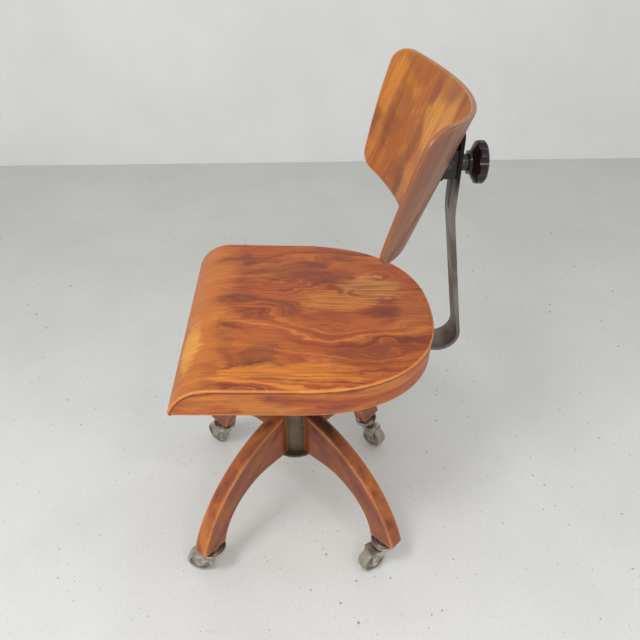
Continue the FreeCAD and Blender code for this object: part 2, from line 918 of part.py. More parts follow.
def strap_corners():
    tilt = math.radians(seat_tilt)
    lean = math.tan(math.radians(strap_lean))
    flat = -board_thick - strap_thick / 2
    centre = strap_rear - strap_thick / 2
    reach = centre + strap_knee_rise * lean - flat * (math.sin(tilt) + math.cos(tilt) * lean)
    heel = reach / (math.cos(tilt) - math.sin(tilt) * lean)
    return [
        seat_frame.multVec(Vector(0, strap_start, flat)),
        seat_frame.multVec(Vector(0, heel, flat)),
        Vector(0, centre, seat_height + strap_knee_rise),
        Vector(0, centre, strap_top),
    ]


def make_back_strap():
    corners = strap_corners()
    radii = [strap_heel_radius, strap_knee_radius]
    rear, rear_start, rear_end = strip_side(corners, radii, -strap_thick / 2)
    front, front_start, front_end = strip_side(corners, radii, strap_thick / 2)
    caps = [Part.makeLine(rear_start, front_start), Part.makeLine(rear_end, front_end)]
    section = closed_face(rear + front + caps)
    section.translate(Vector(-strap_width / 2, 0, 0))
    strap = section.extrude(Vector(strap_width, 0, 0))
    ends = edges_where(strap, lambda edge: abs(edge.Length - strap_thick) < fit_gap)
    strap = strap.makeFillet(strap_corner, ends)
    half = slot_width / 2
    high = strap_top - slot_top_margin - half
    low = high - slot_length + slot_width
    start = strap_front - overrun
    depth = strap_thick + 2 * overrun
    slot = Part.makeBox(slot_width, depth, high - low, Vector(-half, start, low))
    ends = [rod(half, depth, Vector(0, start, level), Y_AXIS) for level in (low, high)]
    strap = strap.cut(slot.fuse(ends))
    for along_y in strap_bolt_places:
        base = Vector(0, along_y, -board_thick - strap_thick - overrun)
        hole = rod(coach_bolt_radius + fit_gap, strap_thick + 2 * overrun, base)
        strap = strap.cut(placed(hole, seat_frame))
    return strap


def nose_radius():
    # Largest nose of the block that the plate on the panel passes.
    return pivot_behind - (plate_rear_radius - panel_radius) - block_nose_gap


def make_clamp_block():
    # The nose turns round the pin; the faces beside it follow the panel at its limits.
    radius = nose_radius()
    low = math.radians(back_recline - tilt_forward - tilt_margin)
    high = math.radians(back_recline + tilt_back + tilt_margin)
    middle = (low + high) / 2

    def touch(angle):
        return Vector(0, -radius * math.cos(angle), radius * math.sin(angle))

    def slope(angle, height):
        start = touch(angle)
        return Vector(0, start.y + (height - start.z) * math.tan(angle), height)

    rear = pivot_reach + overrun
    front_low = slope(low, -block_below)
    front_high = slope(high, block_above)
    section = closed_face([
        Part.makeLine(Vector(0, rear, -block_below), front_low),
        Part.makeLine(front_low, touch(low)),
        Part.Arc(touch(low), touch(middle), touch(high)).toShape(),
        Part.makeLine(touch(high), front_high),
        Part.makeLine(front_high, Vector(0, rear, block_above)),
        Part.makeLine(Vector(0, rear, block_above), Vector(0, rear, -block_below)),
    ])
    section.translate(Vector(-block_width / 2, 0, 0))
    block = section.extrude(Vector(block_width, 0, 0))
    pin_start = Vector(-block_width / 2 - overrun, 0, 0)
    block = block.cut(rod(pivot_radius + fit_gap, block_width + 2 * overrun, pin_start, X_AXIS))
    block = placed(block, pivot_frame)
    size = 2 * block_width
    corner = Vector(-size / 2, strap_front - seat_gap, pivot_place.z - size / 2)
    block = block.cut(Part.makeBox(size, size, size, corner))
    return block.cut(clamp_stud_rod(fit_gap, overrun))


def clamp_stud_start():
    return pivot_place.y + pivot_radius + clamp_stud_wall


def clamp_stud_rod(gap, extra):
    start = Vector(0, clamp_stud_start() - gap, stud_height)
    return rod(clamp_stud_radius + gap, clamp_stud_length + gap + extra, start, Y_AXIS)


def make_clamp_stud():
    return clamp_stud_rod(0, 0)


def make_tilt_pin():
    shank = block_width / 2 + ear_gap + ear_thick + running_gap
    head = shank + pivot_head_height
    bevel = pivot_head_height / 2
    return turned([
        (0, -head),
        (pivot_head_radius - bevel, -head),
        (pivot_head_radius, -head + bevel),
        (pivot_head_radius, -shank),
        (pivot_radius, -shank),
        (pivot_radius, shank),
        (pivot_head_radius, shank),
        (pivot_head_radius, head - bevel),
        (pivot_head_radius - bevel, head),
        (0, head),
    ], pivot_frame.multiply(along(X_AXIS, ORIGIN)))


def knob_frame():
    return along(Y_AXIS, Vector(0, 0, stud_height))


def make_knob_collar():
    start = strap_rear + seat_gap
    bore = clamp_stud_radius + screw_gap
    return turned([
        (bore, start),
        (knob_collar_radius, start),
        (knob_collar_radius, start + knob_collar_length),
        (bore, start + knob_collar_length),
    ], knob_frame())


def make_clamp_knob():
    body = knob_start + knob_neck_length
    end = body + knob_length
    pocket = insert_radius + fit_gap
    pocket_end = knob_start + insert_length + fit_gap
    knob = turned([
        (pocket, knob_start),
        (knob_neck_radius, knob_start),
        (knob_neck_radius, body),
        (knob_radius - knob_back_edge, body + knob_cone_length),
        (knob_radius, body + knob_cone_length + knob_back_edge),
        (knob_radius, end - knob_front_bevel),
        (knob_radius - knob_front_bevel, end),
        (0, end),
        (0, pocket_end),
        (pocket, pocket_end),
    ], knob_frame())
    reach = knob_radius + knob_lobe_radius - knob_lobe_depth
    for lobe in range(knob_lobe_count):
        angle = math.radians(360 / knob_lobe_count * (lobe + 0.5))
        offset = Vector(reach * math.cos(angle), body - overrun, stud_height + reach * math.sin(angle))
        knob = knob.cut(rod(knob_lobe_radius, knob_length + 2 * overrun, offset, Y_AXIS))
    return knob


def make_knob_insert():
    bore = clamp_stud_radius + screw_gap
    end = knob_start + insert_length
    mouth = clamp_stud_start() + clamp_stud_length + screw_gap
    return turned([
        (bore, knob_start),
        (insert_radius, knob_start),
        (insert_radius, end),
        (0, end),
        (0, mouth),
        (bore, mouth),
    ], knob_frame())


def panel_prism():
    # Outline of the panel across its curve: crowned ends, bowed sides, rounded corners.
    half = panel_height / 2
    top = panel_top_width / 2
    bottom = panel_bottom_width / 2
    depth = panel_radius - math.sqrt(panel_radius ** 2 - top ** 2) + 2 * panel_thick
    corners = [Vector(-bottom, -depth, -half), Vector(bottom, -depth, -half)]
    corners += [Vector(top, -depth, half), Vector(-top, -depth, half)]
    outline = closed_face([
        bowed_edge(corners[0], corners[1], Vector(0, 0, -panel_bottom_crown)),
        bowed_edge(corners[1], corners[2], Vector(panel_side_bulge, 0, 0)),
        bowed_edge(corners[2], corners[3], Vector(0, 0, panel_top_crown)),
        bowed_edge(corners[3], corners[0], Vector(-panel_side_bulge, 0, 0)),
    ])
    prism = outline.extrude(Vector(0, depth + panel_thick, 0))

    def runs_back(edge):
        box = edge.BoundBox
        return box.YLength > depth and box.XLength < fit_gap and box.ZLength < fit_gap

    top_edges = edges_where(prism, lambda edge: runs_back(edge) and edge.BoundBox.ZMin > 0)
    prism = prism.makeFillet(panel_top_corner, top_edges)
    bottom_edges = edges_where(prism, lambda edge: runs_back(edge) and edge.BoundBox.ZMax < -half + fit_gap)
    return prism.makeFillet(panel_bottom_corner, bottom_edges)


def back_cylinder(radius):
    # Half cylinder of the panel's curve, in the frame of the backrest.
    height = panel_height + 2 * (panel_top_crown + overrun)
    base = Vector(0, -panel_radius, -height / 2)
    return Part.makeCylinder(radius, height, base, Z_AXIS, 180)


def make_backrest_panel():
    curve = max(back_cylinder(panel_radius).Faces, key=lambda face: face.BoundBox.ZLength * face.Area)
    sheet = curve.common(panel_prism()).Faces[0]
    panel = sheet.makeOffsetShape(panel_thick, offset_tolerance, fill=True)
    panel = Part.Solid(panel.Shells[0])
    arrises = edges_where(panel, lambda edge: edge.Length > panel_thick + fit_gap)
    panel = placed(panel.makeFillet(panel_edge, arrises), back_frame)
    for pocket in back_screw_set(fit_gap):
        panel = panel.cut(pocket)
    return panel


def back_screw_set(gap):
    # Countersunk screws through the plate into the panel, along its radius.
    screws = []
    for level in (-plate_low + back_screw_margin, plate_high - back_screw_margin):
        for side in (-1, 1):
            angle = math.asin(side * back_screw_spread / plate_rear_radius)
            outward = Vector(math.sin(angle), math.cos(angle), 0)
            place = Vector(0, -panel_radius, level) + outward * (plate_rear_radius + gap)
            screw = countersunk(back_screw_head, back_screw_radius, back_screw_sink, back_screw_length, gap)
            screw = placed(screw, along(-outward, place))
            screws.append(placed(screw, back_frame))
    return screws


def make_back_plate():
    # Curved plate with two ears that hold the tilt pin.
    shell = back_cylinder(plate_rear_radius).cut(back_cylinder(panel_rear_radius + fit_gap))
    window = rounded_plate(plate_width, -plate_high, plate_low, pivot_behind, plate_corner)
    window = placed(window, Placement(ORIGIN, Rotation(X_AXIS, -90)))
    plate = shell.common(window)
    inner = panel_rear_radius - panel_radius + fit_gap + plate_thick / 2
    pivot = Vector(0, pivot_behind, pivot_above)
    ears = []
    for start in (block_width / 2 + ear_gap, -block_width / 2 - ear_gap - ear_thick):
        web = polygon_face([
            Vector(start, inner, pivot_above - ear_low),
            Vector(start, pivot_behind, pivot_above - ear_low),
            Vector(start, pivot_behind + ear_radius, pivot_above),
            Vector(start, pivot_behind, pivot_above + ear_radius),
            Vector(start, inner, pivot_above + ear_root_high),
        ]).extrude(Vector(ear_thick, 0, 0))
        web = web.fuse(rod(ear_radius, ear_thick, pivot + Vector(start, 0, 0), X_AXIS))
        inside = back_cylinder(panel_rear_radius + fit_gap)
        ears.append(web.cut(inside))
    plate = plate.fuse(ears).removeSplitter()
    hole_start = pivot - Vector(plate_width / 2 + overrun, 0, 0)
    plate = plate.cut(rod(pivot_radius + fit_gap, plate_width + 2 * overrun, hole_start, X_AXIS))
    plate = placed(plate, back_frame)
    for pocket in back_screw_set(fit_gap):
        plate = plate.cut(pocket)
    return plate


for index, corner in enumerate(caster_headings):
    heading = caster_headings[corner]
    save("leg_" + corner, make_leg(index))
    save("caster_cup_" + corner, make_caster_cup(index))
    save("caster_fork_" + corner, make_fork(index, heading))
    save("caster_washer_" + corner, make_washer(index))
    save("caster_axle_" + corner, make_axle(index, heading))
    save("caster_wheel_" + corner, make_wheel(index, heading))

save("leg_studs", make_leg_studs())
save("column_tube", make_column_tube())
save("base_flange", ring(flange_radius, tube_radius + fit_gap, flange_thick, tube_base))
save("top_collar", ring(collar_radius, tube_radius + fit_gap, collar_height, collar_base))
save("column_bush", make_column_bush())
save("lower_guide", ring(guide_radius, spindle_bore, guide_length, tube_base + guide_rise))
save("thrust_ring", ring(thrust_radius, thrust_bore, thrust_thick, thrust_base))
save("height_nut", make_height_nut())
save("spindle", make_spindle())
save("spindle_pin", make_spindle_pin())
save("seat_plate", make_seat_plate())
save("plate_bolts", make_plate_bolts())
save("seat_board", make_seat_board())
save("board_screws", make_board_screws())
save("seat_rim", make_seat_rim())
save("seat_top", make_seat_top())
save("back_strap", make_back_strap())
save("strap_bolts", make_strap_bolts())
save("clamp_block", make_clamp_block())
save("clamp_stud", make_clamp_stud())
save("tilt_pin", make_tilt_pin())
save("knob_collar", make_knob_collar())
save("clamp_knob", make_clamp_knob())
save("knob_insert", make_knob_insert())
save("back_plate", make_back_plate())
save("back_screws", Part.makeCompound(back_screw_set(0)))
save("backrest_panel", make_backrest_panel())
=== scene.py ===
import math

import bmesh
import bpy
from mathutils import Matrix, Vector
from mathutils.bvhtree import BVHTree
from mathutils.kdtree import KDTree


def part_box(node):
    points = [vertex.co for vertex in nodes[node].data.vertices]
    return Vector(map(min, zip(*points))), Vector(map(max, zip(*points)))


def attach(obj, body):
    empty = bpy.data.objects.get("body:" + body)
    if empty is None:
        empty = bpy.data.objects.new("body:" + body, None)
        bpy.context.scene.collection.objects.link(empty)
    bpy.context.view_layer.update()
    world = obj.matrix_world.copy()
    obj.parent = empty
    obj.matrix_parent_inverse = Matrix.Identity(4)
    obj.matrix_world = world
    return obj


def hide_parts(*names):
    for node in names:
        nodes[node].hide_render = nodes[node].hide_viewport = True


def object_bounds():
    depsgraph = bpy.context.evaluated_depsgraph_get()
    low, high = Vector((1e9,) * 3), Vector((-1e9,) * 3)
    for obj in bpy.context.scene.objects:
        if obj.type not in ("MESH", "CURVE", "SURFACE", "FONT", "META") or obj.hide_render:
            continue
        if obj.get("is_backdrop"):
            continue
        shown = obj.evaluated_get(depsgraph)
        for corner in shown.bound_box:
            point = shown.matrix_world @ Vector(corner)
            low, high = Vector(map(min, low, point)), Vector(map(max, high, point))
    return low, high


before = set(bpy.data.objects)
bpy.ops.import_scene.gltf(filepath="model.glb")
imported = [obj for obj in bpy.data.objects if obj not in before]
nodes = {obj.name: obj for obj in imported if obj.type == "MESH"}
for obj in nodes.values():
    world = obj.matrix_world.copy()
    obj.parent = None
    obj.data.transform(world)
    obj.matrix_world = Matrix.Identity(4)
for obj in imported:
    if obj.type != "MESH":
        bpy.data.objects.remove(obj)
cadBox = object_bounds()
print("frame loaded,", len(nodes), "nodes")

# Shared helpers.


def paint(red, green, blue):
    # A paint-chart colour, 0 to 255, as the linear colour that Blender mixes.
    def straight(value):
        share = value / 255
        return share / 12.92 if share <= 0.04045 else ((share + 0.055) / 1.055) ** 2.4
    return (straight(red), straight(green), straight(blue), 1.0)


def addObject(name, data):
    thing = bpy.data.objects.new(name, data)
    bpy.context.scene.collection.objects.link(thing)
    return thing


def plainMesh(holder, name):
    # The holder's shape with its modifiers, as a mesh of its own. The holder isn't kept.
    graph = bpy.context.evaluated_depsgraph_get()
    mesh = bpy.data.meshes.new_from_object(holder.evaluated_get(graph))
    mesh.name = name
    bpy.data.objects.remove(holder)
    return mesh


def lookAlong(holder, line):
    holder.rotation_mode = "QUATERNION"
    holder.rotation_quaternion = line.to_track_quat("-Z", "Y")


class Wires:
    # A node tree that is built step by step.

    def put(self, kind, inputs=None, **settings):
        node = self.tree.nodes.new(kind)
        for key, value in settings.items():
            setattr(node, key, value)
        for key, value in (inputs or {}).items():
            if isinstance(value, bpy.types.NodeSocket):
                self.tree.links.new(value, node.inputs[key])
            else:
                node.inputs[key].default_value = value
        return node

    def parts(self, vector):
        return self.put("ShaderNodeSeparateXYZ", {0: vector}).outputs

    def calc(self, operation, first, second=0.0, third=0.0, clamp=False):
        facts = {0: first, 1: second, 2: third}
        return self.put("ShaderNodeMath", facts, operation=operation, use_clamp=clamp).outputs[0]

    def times(self, first, second, plus=None):
        # The product of two values, with a third one added where it is given.
        if plus is None:
            return self.calc("MULTIPLY", first, second)
        return self.calc("MULTIPLY_ADD", first, second, plus)

    def span(self, value, low, high, toLow=0.0, toHigh=1.0, shape="SMOOTHSTEP"):
        facts = {"Value": value, "From Min": low, "From Max": high, "To Min": toLow,
                 "To Max": toHigh}
        return self.put("ShaderNodeMapRange", facts, interpolation_type=shape).outputs[0]


class Recipe(Wires):
    # One material and its nodes. What is the same all over it comes straight from its look.

    constants = {"metallic": "Metallic", "evenRoughness": "Roughness", "coat": "Coat Weight",
                 "coatRoughness": "Coat Roughness", "gloss": "Specular IOR Level"}

    def __init__(self, name, look):
        self.material = bpy.data.materials.new(name)
        self.material.use_nodes = True
        self.tree = self.material.node_tree
        self.tree.nodes.clear()
        facts = {socket: look[word] for word, socket in self.constants.items() if word in look}
        self.shader = self.put("ShaderNodeBsdfPrincipled", facts)
        self.put("ShaderNodeOutputMaterial", {"Surface": self.shader.outputs[0]})

    def finishWith(self, **sockets):
        for name, value in sockets.items():
            self.tree.links.new(value, self.shader.inputs[name.replace("_", " ")])
        return self.material

    def objectPlace(self):
        return self.put("ShaderNodeTexCoord").outputs["Object"]

    def vectorOf(self, attribute):
        return self.put("ShaderNodeAttribute", attribute_name=attribute).outputs["Vector"]

    def valueOf(self, attribute):
        return self.put("ShaderNodeAttribute", attribute_name=attribute).outputs["Fac"]

    def mapped(self, vector, scale, shift=(0, 0, 0)):
        facts = {"Vector": vector, "Scale": scale, "Location": shift}
        return self.put("ShaderNodeMapping", facts).outputs[0]

    def noise(self, vector, scale, detail, rough, bend=0.0):
        facts = {"Vector": vector, "Scale": scale, "Detail": detail, "Roughness": rough,
                 "Distortion": bend}
        return self.put("ShaderNodeTexNoise", facts).outputs[0]

    def steps(self, value, detail, rough):
        # Noise along one line, so a whole contour has one value.
        facts = {"W": value, "Scale": 1.0, "Detail": detail, "Roughness": rough}
        return self.put("ShaderNodeTexNoise", facts, noise_dimensions="1D").outputs[0]

    def ramp(self, value, stops):
        node = self.put("ShaderNodeValToRGB", {"Fac": value})
        node.color_ramp.interpolation = "LINEAR"
        marks = node.color_ramp.elements
        while len(marks) < len(stops):
            marks.new(1.0)
        for mark, (spot, colour) in zip(marks, stops):
            mark.position = spot
            mark.color = colour
        return node.outputs[0]

    def mix(self, share, first, second, blend="MIX"):
        facts = {0: share, 6: first, 7: second}
        return self.put("ShaderNodeMix", facts, data_type="RGBA", blend_type=blend).outputs[2]

    def patch(self, vector, centre, size):
        # One soft spot, 1 at its centre and 0 at its rim.
        scale = tuple(1 / s for s in size)
        shift = tuple(-c / s for c, s in zip(centre, size))
        spot = self.mapped(vector, scale, shift)
        length = self.put("ShaderNodeVectorMath", {0: spot}, operation="LENGTH").outputs["Value"]
        return self.span(length, 1.0, 0.0)

    def bump(self, height, depth, strength=1.0):
        facts = {"Height": height, "Distance": depth, "Strength": strength}
        return self.put("ShaderNodeBump", facts).outputs[0]


class Pattern(Wires):
    # One Geometry Nodes tree with named inputs, run once on a mesh of points.

    kinds = {float: "NodeSocketFloat", int: "NodeSocketInt"}

    def __init__(self, name, sizes):
        self.tree = bpy.data.node_groups.new(name, "GeometryNodeTree")
        face = self.tree.interface
        face.new_socket(name="Points", in_out="INPUT", socket_type="NodeSocketGeometry")
        face.new_socket(name="Result", in_out="OUTPUT", socket_type="NodeSocketGeometry")
        self.sockets = {}
        for label, value in sizes.items():
            made = face.new_socket(name=label, in_out="INPUT", socket_type=self.kinds[type(value)])
            made.default_value = value
            self.sockets[label] = made.identifier
        self.entry = self.put("NodeGroupInput").outputs

    def close(self, shape, material):
        shape = self.put("GeometryNodeRealizeInstances", {"Geometry": shape}).outputs[0]
        facts = {"Geometry": shape, "Material": material}
        shape = self.put("GeometryNodeSetMaterial", facts).outputs[0]
        self.put("NodeGroupOutput", {0: shape})

    def make(self, name, sizes, points=((0, 0, 0),), axes=()):
        # The finished shape as a plain mesh, for these sizes and points.
        seedMesh = bpy.data.meshes.new(name + "Points")
        seedMesh.from_pydata(list(points), [], [])
        if axes:
            layer = seedMesh.attributes.new("axis", "FLOAT_VECTOR", "POINT")
            layer.data.foreach_set("vector", [value for axis in axes for value in axis])
        holder = addObject(name + "Points", seedMesh)
        modifier = holder.modifiers.new("pattern", "NODES")
        modifier.node_group = self.tree
        for label, value in sizes.items():
            modifier[self.sockets[label]] = value
        return plainMesh(holder, name)


def dress(nodeNames, material):
    # A CAD part keeps its mesh and takes a better material.
    for name in nodeNames:
        mesh = nodes[name].data
        if not mesh.materials:
            mesh.materials.append(material)
        for index in range(len(mesh.materials)):
            mesh.materials[index] = material


def addPiece(name, mesh, body, replaced):
    piece = addObject(name, mesh)
    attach(piece, body)
    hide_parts(*replaced)


def mergedCopy(nodeName, weld=2e-6):
    copy = bmesh.new()
    copy.from_mesh(nodes[nodeName].data)
    bmesh.ops.remove_doubles(copy, verts=copy.verts, dist=weld)
    bmesh.ops.recalc_face_normals(copy, faces=copy.faces)
    return copy


def islands(copy):
    # Separate solids of one node, each as its list of points, in the order of their vertices.
    seen, found = set(), []
    for start in copy.verts:
        if start in seen:
            continue
        seen.add(start)
        queue, group = [start], []
        while queue:
            vert = queue.pop()
            group.append(vert.co.copy())
            for edge in vert.link_edges:
                other = edge.other_vert(vert)
                if other not in seen:
                    seen.add(other)
                    queue.append(other)
        found.append(group)
    return found


# Where things are, in metres and degrees.

places = {
    "seatBase": 0.43281,  # underside of the seat's rim over the column
    "seatThick": 0.048,
    "seatTilt": 2.06,  # fall to the rear
    "pivot": (0.0, 0.225, 0.73001),
    "backYaw": -1.95,
    "backRecline": 21.14,
    "pivotBehind": 0.0175,
    "pivotAbove": 0.0098,
    "panelRadius": 0.2857,
    "legFirst": -43.9,
    "legStep": 90.0,
}
seatTurn = Matrix.Rotation(math.radians(-places["seatTilt"]), 4, "X")
seatFrame = Matrix.Translation((0, 0, places["seatBase"])) @ seatTurn
backTurn = (Matrix.Rotation(math.radians(places["backYaw"]), 4, "Z")
            @ Matrix.Rotation(math.radians(-places["backRecline"]), 4, "X"))
fromPivot = Vector((0, places["pivotBehind"], places["pivotAbove"]))
backStart = Vector(places["pivot"]) - backTurn @ fromPivot
backFrame = Matrix.Translation(backStart) @ backTurn

grains = {
    "seatRoll": 0.006,  # below this depth the seat's grain turns down with its front
    "rimCentre": 0.02,  # middle of the rim's round, in front of the column
    "rimRadius": 0.2,
    "rimInward": 0.15,  # how fast the figure changes towards the middle
    "legOut": 0.75,  # direction of a leg's board, outwards and down
    "legDown": 0.66,
    "legAside": 0.11,  # each leg is cut from another place of the board
    "legAlong": 0.37,
}


def seatGrain(point):
    # Veneer grain runs front to back and rolls down with the front edge.
    local = seatFrame.inverted() @ point
    below = places["seatThick"] - local.z
    return Vector((local.x, local.y - max(0.0, below - grains["seatRoll"]), below))


def rimGrain(point):
    # The rim's boards follow the outline.
    local = seatFrame.inverted() @ point
    turn = math.atan2(local.x, -local.y - grains["rimCentre"])
    return Vector((local.z, turn * grains["rimRadius"],
                   grains["rimInward"] * math.hypot(local.x, local.y)))


def panelGrain(point):
    # Across the bend, up the panel, and into its thickness.
    local = backFrame.inverted() @ point
    reach = local.y + places["panelRadius"]
    turn = math.atan2(local.x, reach)
    return Vector((turn * places["panelRadius"], local.z,
                   math.hypot(local.x, reach) - places["panelRadius"]))


def legGrain(index):
    # Along the board that a leg is cut from, which runs outwards and down.
    turn = Matrix.Rotation(-math.radians(places["legFirst"] + places["legStep"] * index), 4, "Z")
    out, down = grains["legOut"], grains["legDown"]

    def place(point):
        local = turn @ point
        along = local.x * out - local.z * down
        return Vector((local.y + grains["legAside"] * index, along + grains["legAlong"] * index,
                       local.x * down + local.z * out))
    return place


# Wooden pieces: copies of the solids, cut into a fine grid that can carry grain, wear and painted
# shade and highlight.

woodMesh = {
    "cell": 0.006,
    "flatAngle": 0.3,  # degrees between faces that are one flat
    "arrisAngle": 20.0,  # degrees between faces that count as an edge of the board
    "arrisBend": 90.0,  # or how tightly a rounded edge bends, one over its radius
    "arrisStep": 0.0008,
    "creaseAngle": 38.0,
    "cutWeld": 0.000001,
    "probe": 0.0005,  # how far out the turn to the grain is felt
    "faceUp": 0.5,  # normals of the seat ply's face: level, or to the front
    "faceFront": -0.35,
    "faceUnder": -0.1,
}


def plyDepth(copy, isFace, thick):
    # How far each point lies under the face veneer, by the nearest face of that side.
    faces = [face for face in copy.faces if isFace(face)]
    points = [vert.co for vert in copy.verts]
    corners = [[vert.index for vert in face.verts] for face in faces]
    tree = BVHTree.FromPolygons(points, corners)
    return [min(thick, tree.find_nearest(point)[3]) for point in points]


def isArris(edge):
    # Sharp edges, and the ones between narrow facets of a round, but no wide curve of the board.
    angle = edge.calc_face_angle_signed(0.0)
    width = max(2 * face.calc_area() for face in edge.link_faces) / edge.calc_length()
    return angle > math.radians(woodMesh["arrisAngle"]) or angle > woodMesh["arrisBend"] * width


def arrisTree(copy):
    # Points along every arris, for the distance from any place to the nearest one.
    points = []
    for edge in copy.edges:
        if isArris(edge):
            first, second = (vert.co for vert in edge.verts)
            steps = max(1, int((second - first).length / woodMesh["arrisStep"]))
            points += [first.lerp(second, step / steps) for step in range(steps + 1)]
    tree = KDTree(max(1, len(points)))
    for index, point in enumerate(points):
        tree.insert(point, index)
    tree.balance()
    return tree


def cutIntoCells(copy, low, high):
    # Flats become single faces, and planes across each axis cut them into small cells.
    bmesh.ops.dissolve_limit(copy, angle_limit=math.radians(woodMesh["flatAngle"]),
                             verts=copy.verts, edges=copy.edges, delimit=set())
    for axis in range(3):
        normal = Vector([float(axis == other) for other in range(3)])
        count = int((high[axis] - low[axis]) / woodMesh["cell"])
        for cut in range(1, count + 1):
            spot = normal * (low[axis] + (high[axis] - low[axis]) * cut / (count + 1))
            everything = copy.verts[:] + copy.edges[:] + copy.faces[:]
            bmesh.ops.bisect_plane(copy, geom=everything, dist=woodMesh["cutWeld"],
                                   plane_co=spot, plane_no=normal)
    bmesh.ops.triangulate(copy, faces=copy.faces[:])
    copy.verts.index_update()
    copy.normal_update()


def writeGrain(copy, grain, arrises, depths):
    # What the materials read: the place in the grain, the distance to an arris, and how far
    # the surface is turned to the side of the grain.
    grainLayer = copy.verts.layers.float_vector.new("grain")
    arrisLayer = copy.verts.layers.float.new("arris")
    sideLayer = copy.verts.layers.float.new("side")
    for vert in copy.verts:
        where = grain(vert.co)
        outward = grain(vert.co + vert.normal * woodMesh["probe"]) - where
        if depths:
            where.z = depths[vert.index]
        vert[grainLayer] = where
        vert[arrisLayer] = arrises.find(vert.co)[2]
        vert[sideLayer] = abs(outward.x) / woodMesh["probe"]


def smoothMesh(copy, name, material):
    # Smooth shading that keeps the flats flat and the creases sharp.
    for face in copy.faces:
        face.smooth = True
    for edge in copy.edges:
        edge.smooth = edge.calc_face_angle(0.0) < math.radians(woodMesh["creaseAngle"])
    mesh = bpy.data.meshes.new(name + "Rough")
    copy.to_mesh(mesh)
    copy.free()
    mesh.materials.append(material)
    holder = addObject(name + "Rough", mesh)
    shading = holder.modifiers.new("shading", "WEIGHTED_NORMAL")
    shading.keep_sharp = True
    return plainMesh(holder, name)


def woodPiece(nodeName, name, body, grain, material, thick=0.0, isFace=None):
    copy = mergedCopy(nodeName)
    arrises = arrisTree(copy)
    low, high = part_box(nodeName)
    cutIntoCells(copy, low, high)
    depths = plyDepth(copy, isFace, thick) if isFace else None
    writeGrain(copy, grain, arrises, depths)
    addPiece(name, smoothMesh(copy, name, material), body, [nodeName])


def isSeatFace(face):
    # The sitter's side of the seat ply, down over the waterfall.
    normal = seatTurn.inverted() @ face.normal
    inFront = normal.y < woodMesh["faceFront"] and normal.z > woodMesh["faceUnder"]
    return normal.z > woodMesh["faceUp"] or inFront


# Wood that follows the grain of its mesh.

woodFields = {
    # Noise that is drawn out along the grain. What is left out here comes from the look.
    "figure": {"detail": 2.0, "rough": 0.42},
    "curl": {"detail": 3.0, "rough": 0.5},
    "cloud": {"detail": 4.0, "rough": 0.6},
    "glow": {"shift": (0.3, 2.1, 0.7), "detail": 3.0, "rough": 0.55},
    "fibre": {"stretch": 0.02, "detail": 3.0, "rough": 0.6},
    "hair": {"stretch": 0.04, "detail": 2.0, "rough": 0.6},
    "pore": {"stretch": 0.06, "shift": (0.1, 0.9, 0.4), "detail": 1.0, "rough": 0.5},
    "fade": {"stretch": 0.4, "shift": (0.6, 0.1, 0.3), "size": 16.0, "detail": 2.0,
             "rough": 0.5},
    "torn": {"stretch": 0.6, "shift": (0.2, 0.5, 0.8), "size": 26.0, "detail": 4.0,
             "rough": 0.62},
    "patchy": {"stretch": 0.4, "shift": (0.9, 0.2, 1.1), "size": 30.0, "detail": 3.0,
               "rough": 0.65},
}
woodArt = {
    "ringDetail": 5.0,
    "ringStops": (0.3, 0.45, 0.57, 0.68),  # where deep, middle, light and pale stand
    "edgeRise": (0.62, 0.94),  # a ring's pale edge comes slowly
    "edgeFall": (1.0, 0.95),  # and ends at once
    "edgeFade": (0.4, 0.62),
    "cloudSoft": 0.16,
    "cloudOnRings": (0.62, 0.4, 0.5, 1.0),  # pale rings take half of the stain
    "glowSize": 0.8,  # of the clouds' size
    "glowSpan": (0.5, 0.66),
    "spotRim": 0.3, "spotStreaks": (0.42, 0.55),
    "fibreSpan": (0.25, 0.75),
    "hairSize": 0.3, "hairSpan": (0.3, 0.7),  # sizes of hairs and pores: of the fibres' size
    "poreSize": 1.4, "poreSpan": (0.64, 0.73),
    "flankShadeSpan": (0.5, 0.9),
    "flankShadeOnClouds": (0.66, 0.42, 0.45, 1.0),  # stained places take less of the tint
    "backShadeSkin": (0.0008, 0.0003),
    "wearAndHighlightPatches": (0.3, 0.6),
    "ridgeRise": (0.3, 0.7),  # the worn line peaks in the middle of a rounded edge
    "ridgeFall": (0.99, 0.75), "ridgeLeast": 0.3,
    "faceSkin": (0.0002, 0.0006),  # face veneer that hides the layers
    "fibreRough": 0.16, "cloudRough": 0.2, "polish": 0.18,
    "fibreHeight": 0.5, "poreHeight": -0.8, "ringHeight": 0.8, "bumpStrength": 0.6,
}
plainSpot = {"ragged": 1.6, "veined": 0.6, "blur": 0.25}


